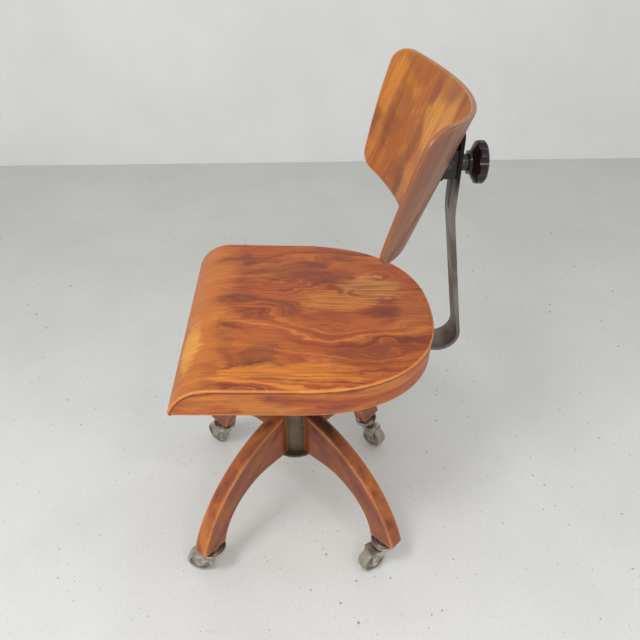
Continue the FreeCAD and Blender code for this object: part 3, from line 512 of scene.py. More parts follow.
class WoodRecipe(Recipe):
    # One kind of wood, laid on step by step.

    def __init__(self, name, look):
        super().__init__(name, look)
        self.look = look
        self.grain = self.vectorOf("grain")
        self.across, _, self.depth = self.parts(self.grain)
        self.fibre = self.drawnOut("fibre", size=look["fibre"])
        self.hair = self.drawnOut("hair", size=look["fibre"] * woodArt["hairSize"])
        self.cloud = self.drawnOut("cloud", stretch=look["cloudStretch"],
                                   shift=look["cloudPlace"], size=look["cloudSize"])

    def drawnOut(self, field, **own):
        facts = {"shift": (0, 0, 0), **woodFields[field], **own}
        place = self.mapped(self.grain, (1.0, facts["stretch"], 1.0), facts["shift"])
        return self.noise(place, facts["size"], facts["detail"], facts["rough"])

    def lay(self, share, colour, blend="MIX"):
        self.colour = self.mix(share, self.colour, colour, blend)

    def growRings(self):
        # Contours of a slow drift, uneven in spacing and in strength.
        look = self.look
        drift = self.drawnOut("figure", stretch=look["stretch"], shift=look["offset"],
                              size=look["figureSize"])
        curl = self.drawnOut("curl", stretch=look["curlStretch"], size=look["curlSize"])
        rings = self.times(self.depth, look["lines"])
        rings = self.times(self.across, look["lines"], rings)
        rings = self.times(drift, look["warp"], rings)
        self.rings = self.times(curl, look["curl"], rings)
        self.growth = self.steps(self.rings, woodArt["ringDetail"], look["crisp"])
        colours = (look["deep"], look["middle"], look["light"], look["pale"])
        self.colour = self.ramp(self.growth, list(zip(woodArt["ringStops"], colours)))

    def edgeRings(self):
        # A pale line along the rings, in some places more than in others.
        edge = self.calc("FRACT", self.times(self.rings, self.look["edgeRate"]))
        edge = self.times(self.span(edge, *woodArt["edgeRise"]),
                          self.span(edge, *woodArt["edgeFall"]))
        fade = self.drawnOut("fade")
        fade = self.span(fade, *woodArt["edgeFade"], 0.0, self.look["edgeShare"])
        self.lay(self.times(edge, fade), self.look["pale"])

    def stainInClouds(self):
        # Dark stain and golden places, both drawn out along the grain.
        look = self.look
        dark = self.span(self.cloud, look["cloudFrom"], look["cloudFrom"] + woodArt["cloudSoft"],
                         0.0, look["cloudShare"])
        dark = self.times(dark, self.span(self.growth, *woodArt["cloudOnRings"]))
        self.lay(dark, look["stain"])
        glow = self.drawnOut("glow", stretch=look["cloudStretch"],
                             size=look["cloudSize"] * woodArt["glowSize"])
        self.lay(self.span(glow, *woodArt["glowSpan"], 0.0, look["glowShare"]), look["glow"])

    def addSpots(self):
        # Single places of another colour, torn at the rim and streaked by the fibres.
        torn = self.calc("SUBTRACT", self.drawnOut("torn"), 0.5)
        veins = self.calc("SUBTRACT", self.growth, 0.5)
        for facts in self.look["spots"]:
            spot = dict(plainSpot, **facts)
            mask = self.patch(self.grain, spot["centre"], spot["size"])
            share = self.times(torn, spot["ragged"], mask)
            share = self.times(veins, spot["veined"], share)
            share = self.span(share, 0.5 - spot["blur"], 0.5 + spot["blur"])
            share = self.times(share, self.span(mask, 0.0, woodArt["spotRim"]))
            streaks = self.span(self.hair, *woodArt["spotStreaks"], 1.0 - spot["streak"], 1.0)
            share = self.times(share, streaks)
            self.lay(self.times(share, spot["share"]), spot["colour"])

    def addFibres(self):
        # Fibres that lighten and darken, and pores that hold stain.
        look = self.look
        least, most = 1.0 - look["fibreShare"], 1.0 + look["fibreShare"]
        lift = self.times(self.span(self.fibre, *woodArt["fibreSpan"], least, most),
                          self.span(self.hair, *woodArt["hairSpan"], least, most))
        tint = self.put("ShaderNodeCombineColor", {0: lift, 1: lift, 2: lift}).outputs[0]
        self.lay(1.0, tint, "MULTIPLY")
        pore = self.drawnOut("pore", size=look["fibre"] * woodArt["poreSize"])
        self.pore = self.span(pore, *woodArt["poreSpan"])
        self.lay(self.times(self.pore, look["poreShare"]), look["stain"])

    def paintFlankShade(self):
        # Painted shade: the sides of a board are tinted darker and duller than its top, as they
        # take less light.
        look = self.look
        flankShade = self.span(self.valueOf("side"), *woodArt["flankShadeSpan"], 0.0, look["flankShadeShare"])
        stained = self.span(self.cloud, *woodArt["flankShadeOnClouds"])
        self.lay(self.times(flankShade, stained), look["flankShade"])

    def paintBackShade(self):
        # Painted shade and sheen: the rear veneer of a bent panel is tinted darker and
        # purple-brown, as it looks in shade at a grazing angle.
        look = self.look
        first, last = (look["plyThick"] - skin for skin in woodArt["backShadeSkin"])
        self.lay(self.span(self.depth, first, last, 0.0, look["backShadeShare"]), look["back"])

    def wearAndHighlightArrises(self):
        # A painted highlight along the arrises, where light catches the rounded edges, together
        # with their wear.
        look = self.look
        wearAndHighlight = self.span(self.valueOf("arris"), look["wearAndHighlightReach"], 0.0)
        patches = self.drawnOut("patchy")
        patches = self.span(patches, *woodArt["wearAndHighlightPatches"], 1.0 - look["wearAndHighlightBreak"], 1.0)
        wearAndHighlight = self.times(wearAndHighlight, patches)
        if look["flankShadeShare"]:
            side = self.valueOf("side")
            ridge = self.times(self.span(side, *woodArt["ridgeRise"]),
                               self.span(side, *woodArt["ridgeFall"]))
            wearAndHighlight = self.times(wearAndHighlight, self.span(ridge, 0.0, 1.0, woodArt["ridgeLeast"], 1.0))
        self.lay(self.times(wearAndHighlight, look["wearAndHighlightShare"]), look["wearAndHighlight"])

    def showLayersAndEdgeShade(self):
        # The plywood's edge takes bands by depth, which don't show through its face veneers: the
        # panel's layers, and on the seat a painted highlight along the top arris over a painted
        # shadow where the ply overhangs the rim.
        look, thick = self.look, self.look["plyThick"]
        band = self.ramp(self.calc("DIVIDE", self.depth, thick), look["ply"])
        first, last = woodArt["faceSkin"]
        inside = self.span(self.depth, first, last)
        if look["twoFaced"]:
            inside = self.times(inside, self.span(self.depth, thick - first, thick - last))
        self.lay(self.times(inside, look["plyShare"]), band)

    def varnished(self):
        look = self.look
        rough = look["roughness"] - woodArt["polish"]
        rough = self.times(self.fibre, woodArt["fibreRough"], rough)
        rough = self.times(self.cloud, woodArt["cloudRough"], rough)
        height = self.times(self.fibre, woodArt["fibreHeight"])
        height = self.times(self.pore, woodArt["poreHeight"], height)
        height = self.times(self.growth, woodArt["ringHeight"], height)
        relief = self.bump(height, look["relief"], woodArt["bumpStrength"])
        return self.finishWith(Base_Color=self.colour, Roughness=rough, Normal=relief)


def woodRecipe(name, look):
    wood = WoodRecipe(name, look)
    wood.growRings()
    wood.edgeRings()
    wood.stainInClouds()
    wood.addSpots()
    wood.addFibres()
    if look["flankShadeShare"]:
        wood.paintFlankShade()
    if look["backShadeShare"]:
        wood.paintBackShade()
    wood.wearAndHighlightArrises()
    if look["ply"]:
        wood.showLayersAndEdgeShade()
    return wood.varnished()


varnish = {
    # What a look leaves as it is.
    "coat": 0.12, "coatRoughness": 0.25, "gloss": 0.3, "roughness": 0.46, "relief": 0.0004,
    "lines": 60.0, "warp": 9.0, "figureSize": 9.0, "stretch": 0.22, "offset": (0.0, 0.0, 0.0),
    "curl": 1.1, "curlSize": 22.0, "curlStretch": 0.5, "crisp": 0.62,
    "edgeRate": 1.4, "edgeShare": 0.5, "fibre": 900.0, "fibreShare": 0.1, "poreShare": 0.3,
    "cloudSize": 13.0, "cloudStretch": 0.4, "cloudPlace": (1.7, 0.4, 0.2), "cloudFrom": 0.48,
    "cloudShare": 0.75, "glowShare": 0.4, "wearAndHighlightReach": 0.0025, "wearAndHighlightBreak": 0.5,
    "wearAndHighlightShare": 0.75, "flankShadeShare": 0.0, "backShadeShare": 0.0, "ply": (), "spots": (),
}
seatLook = dict(
    varnish,
    deep=paint(134, 58, 30), middle=paint(156, 71, 33), light=paint(172, 85, 36),
    pale=paint(206, 120, 52), stain=paint(98, 44, 32), glow=paint(200, 112, 40),
    wearAndHighlight=paint(230, 152, 74), lines=36.0, warp=8.0, figureSize=7.0, stretch=0.42, curl=3.0,
    edgeRate=2.1, edgeShare=0.55, cloudStretch=0.6, cloudShare=0.6, wearAndHighlightReach=0.0014,
    wearAndHighlightShare=0.7, plyThick=0.005, plyShare=0.85, twoFaced=False,
    # The seat ply's edge: a painted highlight along the top arris, then a painted shadow where the
    # ply overhangs the rim.
    ply=[(0.0, paint(222, 144, 66)), (0.16, paint(204, 124, 54)), (0.3, paint(158, 84, 38)),
         (0.46, paint(130, 66, 34)), (0.54, paint(52, 26, 22)), (1.0, paint(46, 24, 20))],
    spots=(
        dict(centre=(0.0, -0.165, 0.0), size=(0.9, 0.115, 0.6), colour=paint(200, 116, 42),
             share=0.8, streak=0.1, ragged=1.3, veined=0.5, blur=0.3),
        dict(centre=(0.02, 0.2, 0.0), size=(0.12, 0.06, 0.2), colour=paint(196, 112, 48),
             share=0.55, streak=0.3, ragged=1.8, veined=1.0),
        dict(centre=(0.1, -0.165, 0.0), size=(0.1, 0.045, 0.1), colour=paint(236, 166, 70),
             share=0.65, streak=0.1, ragged=1.4, veined=0.8),
        dict(centre=(-0.06, 0.13, 0.0), size=(0.08, 0.1, 0.2), colour=paint(192, 126, 60),
             share=0.85, streak=0.6, ragged=1.3, blur=0.16),
        dict(centre=(-0.015, 0.075, 0.0), size=(0.065, 0.12, 0.2), colour=paint(196, 120, 50),
             share=0.85, streak=0.6, ragged=1.3, blur=0.16),
        dict(centre=(0.17, 0.0, 0.0), size=(0.055, 0.16, 0.2), colour=paint(224, 136, 46),
             share=0.65, streak=0.4, ragged=2.4, veined=1.2),
        dict(centre=(-0.11, 0.0, 0.0), size=(0.06, 0.13, 0.2), colour=paint(98, 46, 29),
             share=0.55, streak=0.4, ragged=2.0, veined=-1.6),
        dict(centre=(0.12, -0.05, 0.0), size=(0.05, 0.06, 0.2), colour=paint(92, 42, 30),
             share=0.55, streak=0.4, ragged=2.2, veined=-1.8),
        dict(centre=(0.12, 0.12, 0.0), size=(0.06, 0.1, 0.2), colour=paint(96, 44, 30),
             share=0.45, streak=0.4, ragged=2.2, veined=-1.8),
    ),
)
rimLook = dict(
    varnish,
    deep=paint(146, 68, 38), middle=paint(176, 88, 43), light=paint(197, 109, 51),
    pale=paint(212, 128, 60), stain=paint(100, 48, 46), glow=paint(220, 140, 56),
    wearAndHighlight=paint(224, 142, 62), lines=36.0, warp=2.5, stretch=0.1, crisp=0.5, cloudShare=0.7,
    cloudSize=38.0, cloudStretch=0.3, cloudFrom=0.47, edgeShare=0.15, curl=0.6, wearAndHighlightShare=0.4,
    glowShare=0.55,
)
panelLook = dict(
    varnish,
    deep=paint(148, 78, 36), middle=paint(164, 89, 36), light=paint(176, 100, 40),
    pale=paint(190, 116, 48), stain=paint(112, 62, 38), glow=paint(208, 134, 44),
    wearAndHighlight=paint(190, 140, 96), lines=30.0, warp=3.5, stretch=0.25, figureSize=8.0, crisp=0.4,
    cloudStretch=0.85, cloudSize=17.0, cloudShare=0.55, cloudFrom=0.5, edgeShare=0.15, curl=0.9,
    coat=0.28, coatRoughness=0.14, roughness=0.42, wearAndHighlightShare=0.4, glowShare=0.5,
    # back: a painted shade and sheen on the panel's rear veneer, darker and purple-brown.
    fibreShare=0.15, back=paint(110, 60, 50), backShadeShare=0.55,
    plyThick=0.008, plyShare=0.8, twoFaced=True,
    ply=[(0.0, paint(186, 134, 86)), (0.16, paint(168, 106, 62)), (0.2, paint(108, 66, 44)),
         (0.24, paint(148, 88, 56)), (0.4, paint(154, 92, 58)), (0.44, paint(102, 62, 44)),
         (0.48, paint(158, 98, 62)), (0.6, paint(154, 94, 60)), (0.64, paint(100, 60, 44)),
         (0.68, paint(148, 98, 66)), (0.84, paint(142, 94, 64)), (0.88, paint(98, 64, 46)),
         (1.0, paint(134, 92, 64))],
    spots=(
        dict(centre=(-0.02, 0.03, 0.0), size=(0.14, 0.09, 0.02), colour=paint(212, 142, 50),
             share=0.85, streak=0.3, ragged=1.8, veined=0.6),
        dict(centre=(-0.14, 0.1, 0.0), size=(0.1, 0.07, 0.02), colour=paint(144, 76, 36),
             share=0.6, streak=0.3, ragged=1.6, veined=-0.4),
        dict(centre=(-0.06, 0.09, 0.0), size=(0.08, 0.05, 0.02), colour=paint(126, 70, 40),
             share=0.4, streak=0.4, ragged=1.8, veined=-1.0),
        dict(centre=(-0.16, 0.0, 0.0), size=(0.05, 0.08, 0.02), colour=paint(112, 66, 40),
             share=0.35, streak=0.4, ragged=1.8, veined=-1.0),
    ),
)
legLook = dict(
    varnish,
    deep=paint(124, 62, 42), middle=paint(148, 78, 45), light=paint(168, 92, 48),
    pale=paint(186, 110, 54), stain=paint(92, 46, 40), glow=paint(204, 114, 36),
    wearAndHighlight=paint(222, 146, 82), lines=24.0, warp=3.0, stretch=0.25, crisp=0.45, cloudShare=0.6,
    cloudSize=27.0, cloudStretch=0.75, cloudFrom=0.46, edgeShare=0.1, curl=0.5, glowShare=0.6,
    wearAndHighlightReach=0.0042, wearAndHighlightShare=0.7, offset=(0.3, 0.1, 0.0),
    # The legs' side faces take a painted shade, darker and purple-brown.
    flankShade=paint(126, 72, 56), flankShadeShare=0.7,
    spots=(
        # A painted shade: a near-black place on the top of one leg by the column, under the seat.
        dict(centre=(0.11, 0.225, 0.26), size=(0.08, 0.12, 0.09), colour=paint(52, 26, 27),
             share=0.9, streak=0.1, ragged=1.2),
    ),
)
boardLook = dict(
    varnish,
    deep=paint(150, 104, 66), middle=paint(172, 126, 82), light=paint(190, 146, 98),
    pale=paint(202, 160, 112), stain=paint(120, 80, 52), glow=paint(200, 152, 100),
    wearAndHighlight=paint(206, 164, 112), coat=0.05, roughness=0.6, wearAndHighlightShare=0.3,
)

woodPiece("seat_top", "seatTopPly", "seat", seatGrain,
          woodRecipe("seatVeneer", seatLook), seatLook["plyThick"], isSeatFace)
woodPiece("seat_rim", "seatRimWood", "seat", rimGrain,
          woodRecipe("rimWood", rimLook))
woodPiece("seat_board", "seatCarrierBoard", "seat", seatGrain,
          woodRecipe("boardWood", boardLook))
woodPiece("backrest_panel", "backrestPly", "backrest", panelGrain,
          woodRecipe("panelVeneer", panelLook))
corners = ("front_left", "rear_left", "rear_right", "front_right")
legWood = woodRecipe("legWood", legLook)
for index, corner in enumerate(corners):
    woodPiece("leg_" + corner, "legWood_" + corner, "base", legGrain(index), legWood)
print("wooden pieces done")

# Metals, bright, cast or painted.


def metalRecipe(name, look):
    r = Recipe(name, look)
    place = r.objectPlace()
    cloud = r.noise(place, look["cloud"], detail=4.0, rough=0.6)
    fine = r.noise(place, look["cloud"] * look["fine"], detail=3.0, rough=0.6)
    fleck = r.noise(place, look["fleckSize"], detail=2.0, rough=0.6)
    scratch = r.noise(r.mapped(place, look["brush"]), look["brushSize"], detail=2.0, rough=0.6)
    colour = r.mix(r.span(cloud, *look["cloudSpan"]), look["colour"], look["shade"])
    fleck = r.span(fleck, look["fleckFrom"], look["fleckFrom"] + look["fleckSoft"])
    colour = r.mix(r.times(fleck, look["fleckShare"]), colour, look["fleck"])
    if look["black"]:
        height = r.times(cloud, look["blackWaver"], r.parts(place)[2])
        colour = r.mix(r.span(height, *look["blackFrom"]), colour, look["black"])
    rough = r.span(cloud, *look["roughSpan"], look["roughness"] - look["polish"],
                   look["roughness"] + look["dulling"])
    rough = r.times(scratch, look["brushShare"], rough)
    rough = r.calc("MULTIPLY_ADD", fleck, look["fleckRough"], rough, clamp=True)
    height = r.times(fine, look["grain"])
    height = r.times(fleck, look["fleckHeight"], height)
    height = r.times(scratch, look["brushShare"], height)
    return r.finishWith(Base_Color=colour, Roughness=rough, Normal=r.bump(height, look["relief"]))


plainMetal = {
    "metallic": 0.9, "coat": 0.0, "coatRoughness": 0.25,
    "cloud": 34.0, "cloudSpan": (0.35, 0.65), "fine": 9, "grain": 0.2,
    "fleckSize": 260.0, "fleckFrom": 0.66, "fleckSoft": 0.06, "fleckShare": 0.6,
    "fleckRough": 0.2, "fleckHeight": -0.7,
    "brush": (1.0, 1.0, 0.08), "brushSize": 420.0, "brushShare": 0.12,
    "roughness": 0.34, "roughSpan": (0.3, 0.7), "polish": 0.08, "dulling": 0.1,
    "relief": 0.0001,
    "black": None, "blackFrom": (0.69, 0.75), "blackWaver": 0.05,
}
metalLooks = {
    "columnPaint": dict(
        colour=paint(112, 98, 80), shade=paint(92, 80, 64), fleck=paint(66, 60, 50),
        metallic=0.5, roughness=0.42),
    "strapPaint": dict(
        colour=paint(136, 128, 122), shade=paint(106, 99, 94), fleck=paint(60, 54, 52),
        metallic=0.8, roughness=0.36, cloud=12.0, black=paint(34, 29, 29)),
    "bracketPaint": dict(
        colour=paint(36, 33, 33), shade=paint(24, 22, 23), fleck=paint(66, 60, 58),
        metallic=0.3, roughness=0.42, coat=0.2, fleckShare=0.3),
    "brightSteel": dict(
        colour=paint(184, 178, 170), shade=paint(150, 144, 136), fleck=paint(96, 84, 72),
        metallic=1.0, roughness=0.28),
    "darkSteel": dict(
        colour=paint(78, 74, 72), shade=paint(52, 49, 48), fleck=paint(120, 116, 112),
        roughness=0.26),
    "collarMetal": dict(
        colour=paint(84, 79, 78), shade=paint(58, 54, 54), fleck=paint(52, 48, 47),
        metallic=1.0, roughness=0.3),
    "castIron": dict(
        colour=paint(70, 66, 62), shade=paint(48, 45, 43), fleck=paint(94, 66, 50),
        metallic=0.5, roughness=0.58, grain=1.0, relief=0.0003, brushShare=0.02),
    "insertBrass": dict(
        colour=paint(196, 168, 104), shade=paint(150, 122, 70), fleck=paint(90, 72, 44),
        metallic=1.0, roughness=0.32),
    "casterNickel": dict(
        colour=paint(204, 196, 187), shade=paint(150, 140, 130), fleck=paint(104, 92, 82),
        metallic=0.92, roughness=0.3, fleckShare=0.55, fleckFrom=0.62, cloud=60.0),
}
metals = {name: metalRecipe(name, {**plainMetal, **look}) for name, look in metalLooks.items()}

# Screw thread on the spindle.

threadLook = {
    "radius": 0.014,
    "core": 0.0124,
    "pitch": 0.008,
    "crest": 0.3,  # where the crest ends, in half pitches
    "root": 0.62,  # and where the root starts
    "tip": 0.0015,
    "segments": 40,
    "rowsEachTurn": 8,
    "weld": 0.000001,
}


def threadWall(p, share, rise):
    # The radius at one place: the thread, a bevel near both ends, and 0 on them to close them.
    get = p.entry
    phase = p.calc("FRACT", p.calc("SUBTRACT", p.calc("DIVIDE", rise, get["Pitch"]), share))
    ridge = p.calc("ABSOLUTE", p.times(phase, 2.0, -1.0))
    tooth = p.span(ridge, threadLook["crest"], threadLook["root"], 1.0, 0.0, "LINEAR")
    deep = p.calc("SUBTRACT", get["Radius"], get["Core"])
    thread = p.times(tooth, deep, get["Core"])
    toEnd = p.calc("MINIMUM", rise, p.calc("SUBTRACT", get["Length"], rise))
    back = p.calc("SUBTRACT", p.calc("DIVIDE", toEnd, get["Tip"], clamp=True), 1.0)
    bevel = p.times(back, get["Tip"], get["Core"])
    nearEnd = p.calc("LESS_THAN", toEnd, get["Tip"])
    wall = p.times(thread, p.calc("SUBTRACT", 1.0, nearEnd), p.times(bevel, nearEnd))
    return p.times(wall, p.calc("GREATER_THAN", toEnd, threadLook["weld"]))


def threadPattern(sizes, material):
    # A grid that is rolled up into the threaded rod and closed.
    p = Pattern("screwThread", sizes)
    get = p.entry
    facts = {"Size X": 1.0, "Size Y": 1.0, "Vertices X": get["Segments"],
             "Vertices Y": get["Rows"]}
    sheet = p.put("GeometryNodeMeshGrid", facts).outputs["Mesh"]
    x, y, _ = p.parts(p.put("GeometryNodeInputPosition").outputs[0])
    share = p.calc("ADD", x, 0.5)
    rise = p.times(p.calc("ADD", y, 0.5), get["Length"])
    wall = threadWall(p, share, rise)
    turn = p.times(share, math.tau)
    facts = {0: p.times(p.calc("COSINE", turn), wall), 1: p.times(p.calc("SINE", turn), wall),
             2: p.calc("ADD", rise, get["Base"])}
    place = p.put("ShaderNodeCombineXYZ", facts).outputs[0]
    sheet = p.put("GeometryNodeSetPosition", {"Geometry": sheet, "Position": place}).outputs[0]
    facts = {"Geometry": sheet, "Distance": threadLook["weld"]}
    sheet = p.put("GeometryNodeMergeByDistance", facts).outputs[0]
    p.close(p.put("GeometryNodeSetShadeSmooth", {0: sheet}).outputs[0], material)
    return p


def addThread():
    low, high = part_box("spindle")
    length = high.z - low.z
    rows = int(length / threadLook["pitch"] * threadLook["rowsEachTurn"])
    sizes = {"Radius": threadLook["radius"], "Core": threadLook["core"],
             "Pitch": threadLook["pitch"], "Length": length, "Base": low.z,
             "Tip": threadLook["tip"], "Segments": threadLook["segments"] + 1, "Rows": rows}
    mesh = threadPattern(sizes, metals["brightSteel"]).make("spindleThread", sizes)
    addPiece("spindleThread", mesh, "seat", ["spindle"])


addThread()

# Slotted screws: the board's and those of the backrest's plate.

slots = {"Slot Width": 0.0011, "Slot Depth": 0.0013, "Segments": 24, "Seed": 7}
boardScrew = {"Head": 0.0045, "Shank": 0.0022, "Sink": 0.0025, "Length": 0.025, **slots}
plateScrew = {"Head": 0.004, "Shank": 0.002, "Sink": 0.0022, "Length": 0.0065, **slots}
screwShape = {
    "slotReach": 3.0,  # the cutter's length, in head radii
    "slotSides": 2.0,  # it reaches as far above the head as it cuts in
    "shankStart": 0.9,  # of the head's depth, so that the two overlap
}


def slottedHead(p):
    get = p.entry
    facts = {"Vertices": get["Segments"], "Radius Top": get["Shank"], "Radius Bottom": get["Head"],
             "Depth": get["Sink"]}
    head = p.put("GeometryNodeMeshCone", facts).outputs["Mesh"]
    facts = {0: p.times(get["Head"], screwShape["slotReach"]), 1: get["Slot Width"],
             2: p.times(get["Slot Depth"], screwShape["slotSides"])}
    size = p.put("ShaderNodeCombineXYZ", facts).outputs[0]
    slot = p.put("GeometryNodeMeshCube", {"Size": size}).outputs["Mesh"]
    cut = p.put("GeometryNodeMeshBoolean", {"Mesh 1": head, "Mesh 2": slot},
                operation="DIFFERENCE", solver="EXACT")
    return cut.outputs["Mesh"]


def screwShank(p):
    get = p.entry
    facts = {"Vertices": get["Segments"], "Radius": get["Shank"], "Depth": get["Length"]}
    shank = p.put("GeometryNodeMeshCylinder", facts).outputs["Mesh"]
    start = p.times(get["Sink"], screwShape["shankStart"])
    middle = p.times(get["Length"], 0.5, start)
    shift = p.put("ShaderNodeCombineXYZ", {2: middle}).outputs[0]
    return p.put("GeometryNodeTransform", {"Geometry": shank, "Translation": shift}).outputs[0]


def screwPattern(sizes, material):
    # One screw on each point, along its axis and turned by chance.
    p = Pattern("slottedScrews", sizes)
    get = p.entry
    screw = p.put("GeometryNodeJoinGeometry")
    p.tree.links.new(slottedHead(p), screw.inputs[0])
    p.tree.links.new(screwShank(p), screw.inputs[0])
    axis = p.put("GeometryNodeInputNamedAttribute", {"Name": "axis"}, data_type="FLOAT_VECTOR")
    aim = p.put("FunctionNodeAlignRotationToVector", {"Vector": axis.outputs[0]}, axis="Z")
    spin = p.put("FunctionNodeRandomValue", {2: 0.0, 3: math.pi, "Seed": get["Seed"]},
                 data_type="FLOAT")
    own = p.put("ShaderNodeCombineXYZ", {2: spin.outputs[1]}).outputs[0]
    turned = p.put("FunctionNodeRotateRotation", {0: aim.outputs[0], 1: own},
                   rotation_space="LOCAL")
    facts = {"Points": get["Points"], "Instance": screw.outputs[0], "Rotation": turned.outputs[0]}
    p.close(p.put("GeometryNodeInstanceOnPoints", facts).outputs[0], material)
    return p


def screwEnds(nodeName, outward):
    # Head places and directions of one node's screws, read from their solids.
    copy = mergedCopy(nodeName)
    heads, axes = [], []
    for group in islands(copy):
        centre = sum(group, Vector()) / len(group)
        axis = -outward(centre)
        low = min((point - centre).dot(axis) for point in group)
        heads.append(centre + axis * low)
        axes.append(axis)
    copy.free()
    return heads, axes


def seatDown(_):
    return seatTurn @ Vector((0, 0, -1))


def panelRear(point):
    local = backFrame.inverted() @ point
    return (backTurn @ Vector((local.x, local.y + places["panelRadius"], 0))).normalized()


screws = screwPattern(boardScrew, metals["brightSteel"])
for nodeName, name, body, outward, sizes in (
        ("board_screws", "boardScrews", "seat", seatDown, boardScrew),
        ("back_screws", "plateScrews", "backrest", panelRear, plateScrew)):
    heads, axes = screwEnds(nodeName, outward)
    mesh = screws.make(name, sizes, heads, axes)
    addPiece(name, mesh, body, [nodeName])
print("thread and screws done")

# The casters' wheels and the knob, and what each carried-over node is finished in.

wheelLook = {
    "colour": paint(168, 161, 147), "shade": paint(142, 135, 122), "grime": paint(88, 80, 70),
    "metallic": 0.2, "gloss": 0.5, "cloud": 70.0, "cloudSpan": (0.35, 0.65),
    "speck": 420.0, "speckSpan": (0.62, 0.72), "speckShare": 0.45, "speckHeight": -0.5,
    "roughSpan": (0.3, 0.7), "roughness": (0.34, 0.5), "relief": 0.0003,
}
resinLook = {
    "colour": paint(34, 24, 27), "swirl": paint(50, 32, 36), "dust": paint(84, 72, 74),
    "coat": 0.15, "coatRoughness": 0.1, "gloss": 0.3,
    "swirlSize": 60.0, "swirlBend": 2.0, "swirlSpan": (0.42, 0.66),
    "scuffSize": 260.0, "scuffSpan": (0.64, 0.76), "scuffShare": 0.12, "scuffRough": 0.2,
    "roughSpan": (0.3, 0.7), "roughness": (0.28, 0.38), "relief": 0.00004,
}


def wheelRecipe(look):
    r = Recipe("wheelTread", look)
    place = r.objectPlace()
    cloud = r.noise(place, look["cloud"], detail=4.0, rough=0.6)
    speck = r.span(r.noise(place, look["speck"], detail=2.0, rough=0.7), *look["speckSpan"])
    colour = r.mix(r.span(cloud, *look["cloudSpan"]), look["colour"], look["shade"])
    colour = r.mix(r.times(speck, look["speckShare"]), colour, look["grime"])
    height = r.times(speck, look["speckHeight"], cloud)
    return r.finishWith(Base_Color=colour, Normal=r.bump(height, look["relief"]),
                        Roughness=r.span(cloud, *look["roughSpan"], *look["roughness"]))


def resinRecipe(look):
    r = Recipe("knobResin", look)
    place = r.objectPlace()
    swirl = r.noise(place, look["swirlSize"], detail=3.0, rough=0.6, bend=look["swirlBend"])
    colour = r.mix(r.span(swirl, *look["swirlSpan"]), look["colour"], look["swirl"])
    scuff = r.span(r.noise(place, look["scuffSize"], detail=4.0, rough=0.7), *look["scuffSpan"])
    colour = r.mix(r.times(scuff, look["scuffShare"]), colour, look["dust"])
    rough = r.span(swirl, *look["roughSpan"], *look["roughness"])
    rough = r.times(scuff, look["scuffRough"], rough)
    return r.finishWith(Base_Color=colour, Roughness=rough, Normal=r.bump(scuff, look["relief"]))


def onCorners(*parts):
    return [part + corner for corner in corners for part in parts]


finishes = {
    "columnPaint": ["column_tube", "base_flange", "top_collar"],
    "brightSteel": ["column_bush", "lower_guide", "thrust_ring", "height_nut", "spindle_pin",
                    "leg_studs", "plate_bolts", "strap_bolts", "clamp_stud"],
    "castIron": ["seat_plate"],
    "darkSteel": ["tilt_pin"],
    "strapPaint": ["back_strap"],
    "bracketPaint": ["clamp_block", "back_plate"],
    "collarMetal": ["knob_collar"],
    "insertBrass": ["knob_insert"],
    "casterNickel": onCorners("caster_cup_", "caster_fork_", "caster_washer_", "caster_axle_"),
}
for finish, nodeNames in finishes.items():
    dress(nodeNames, metals[finish])
dress(["clamp_knob"], resinRecipe(resinLook))
dress(onCorners("caster_wheel_"), wheelRecipe(wheelLook))
print("metal, resin and wheels done")

# Floor, wall, lamps, camera.

floorLook = {
    # near and far: a painted light falloff, the floor lighter towards the camera and darker
    # towards the wall.
    "near": paint(232, 232, 230), "far": paint(203, 204, 199), "shade": paint(150, 151, 147),
    "paintedFalloffSpan": (-1.2, 0.7),  # metres along X
    "cloud": 2.2, "cloudSpan": (0.35, 0.65), "cloudShare": 0.12,
    "fine": 160.0, "fineSpan": (0.5, 0.7), "fineShare": 0.1,
    "specks": ((60.0, 0.765), (130.0, 0.745)),  # size, and how rare
    "speck": paint(120, 120, 112), "speckSoft": 0.03, "speckShare": 0.75,
    "evenRoughness": 0.7, "relief": 0.0004, "bumpStrength": 0.4,
}
wallLook = {"colour": paint(234, 234, 233), "cloud": 3.0, "cloudSpan": (0.3, 0.7),
            "cloudShare": 0.2, "evenRoughness": 0.9}
room = {"wallX": -1.81, "reach": 9.0, "height": 5.0, "light": 0.71}


def floorRecipe(look):
    r = Recipe("paleConcrete", look)
    place = r.objectPlace()
    cloud = r.noise(place, look["cloud"], detail=5.0, rough=0.6)
    fine = r.noise(place, look["fine"], detail=3.0, rough=0.6)
    # Painted light falloff: the far colour at the wall turns into the near colour towards the
    # camera.
    colour = r.mix(r.span(r.parts(place)[0], *look["paintedFalloffSpan"]), look["far"], look["near"])
    colour = r.mix(r.span(cloud, *look["cloudSpan"], 0.0, look["cloudShare"]), colour,
                   look["shade"])
    colour = r.mix(r.span(fine, *look["fineSpan"], 0.0, look["fineShare"]), colour, look["shade"])
    for size, low in look["specks"]:
        speck = r.noise(place, size, detail=1.0, rough=0.5)
        speck = r.span(speck, low, low + look["speckSoft"], 0.0, look["speckShare"])
        colour = r.mix(speck, colour, look["speck"])
    relief = r.bump(fine, look["relief"], look["bumpStrength"])
    return r.finishWith(Base_Color=colour, Normal=relief)


def wallRecipe(look):
    r = Recipe("paleWall", look)
    cloud = r.noise(r.objectPlace(), look["cloud"], detail=4.0, rough=0.6)
    share = r.span(cloud, *look["cloudSpan"], 0.0, look["cloudShare"])
    return r.finishWith(Base_Color=r.mix(share, look["colour"], floorLook["far"]))


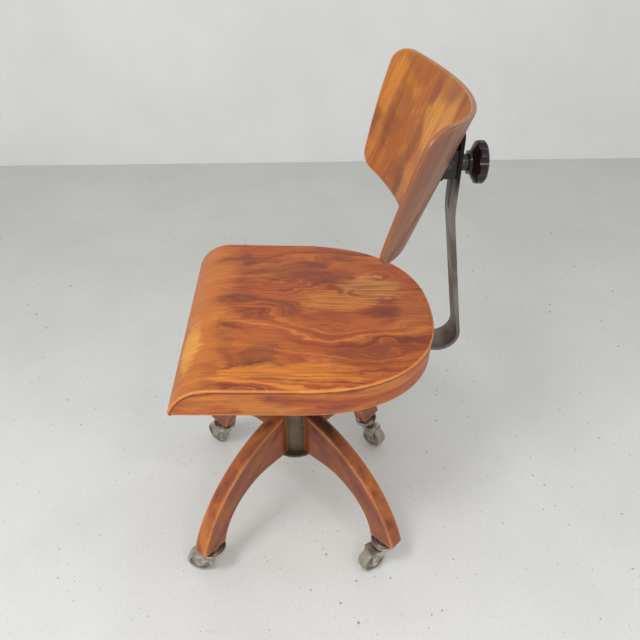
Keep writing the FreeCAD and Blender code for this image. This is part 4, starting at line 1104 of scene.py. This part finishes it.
def addStage(name, points, material):
    mesh = bpy.data.meshes.new(name)
    mesh.from_pydata(points, [], [tuple(range(len(points)))])
    mesh.materials.append(material)
    sheet = addObject(name, mesh)
    sheet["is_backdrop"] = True


reach, wallX, height = room["reach"], room["wallX"], room["height"]
addStage("floor", [(wallX, -reach, 0), (reach, -reach, 0), (reach, reach, 0), (wallX, reach, 0)],
         floorRecipe(floorLook))
addStage("wall", [(wallX, -reach, 0), (wallX, reach, 0), (wallX, reach, height),
                  (wallX, -reach, height)], wallRecipe(wallLook))

lamps = (
    {"name": "overhead", "place": (1, -0.85, 2.6), "aim": (0, 0, 0.2), "size": 0.6, "watts": 21},
    {"name": "doorway", "place": (2.4, -0.6, 2), "aim": (0, 0, 0.4), "size": 2, "watts": 14},
    {"name": "bulb", "place": (1.6, 0.9, 2.4), "aim": (0, 0.1, 0.5), "size": 0.16, "watts": 4.5},
)
for facts in lamps:
    lamp = bpy.data.lights.new(facts["name"], "AREA")
    lamp.shape = "SQUARE"
    lamp.size = facts["size"]
    lamp.energy = facts["watts"]
    holder = addObject(facts["name"], lamp)
    holder.location = facts["place"]
    lookAlong(holder, Vector(facts["aim"]) - Vector(facts["place"]))

world = bpy.data.worlds.new("softRoom")
bpy.context.scene.world = world
world.use_nodes = True
sky = world.node_tree.nodes["Background"]
sky.inputs["Color"].default_value = (1, 1, 1, 1)
sky.inputs["Strength"].default_value = room["light"]

shot = {
    "lens": 35.30,
    "sensor": 36.0,
    "place": (0.84493, 0.01961, 1.06782),
    "pitch": 0.629,  # down and to the right, in radians
    "yaw": 0.032,
    "near": 0.01,
    "far": 50.0,
}
camera = bpy.data.cameras.new("shot")
camera.lens = shot["lens"]
camera.sensor_width = shot["sensor"]
camera.clip_start = shot["near"]
camera.clip_end = shot["far"]
cameraHolder = addObject("shot", camera)
cameraHolder.location = shot["place"]
sight = Vector((-math.cos(shot["yaw"]) * math.cos(shot["pitch"]),
                math.sin(shot["yaw"]) * math.cos(shot["pitch"]), -math.sin(shot["pitch"])))
lookAlong(cameraHolder, sight)
bpy.context.scene.camera = cameraHolder
bpy.context.scene.view_settings.view_transform = "Standard"
print("stage done")

sizes = {"cad": [list(corner) for corner in cadBox],
         "visual": [list(corner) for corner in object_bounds()]}
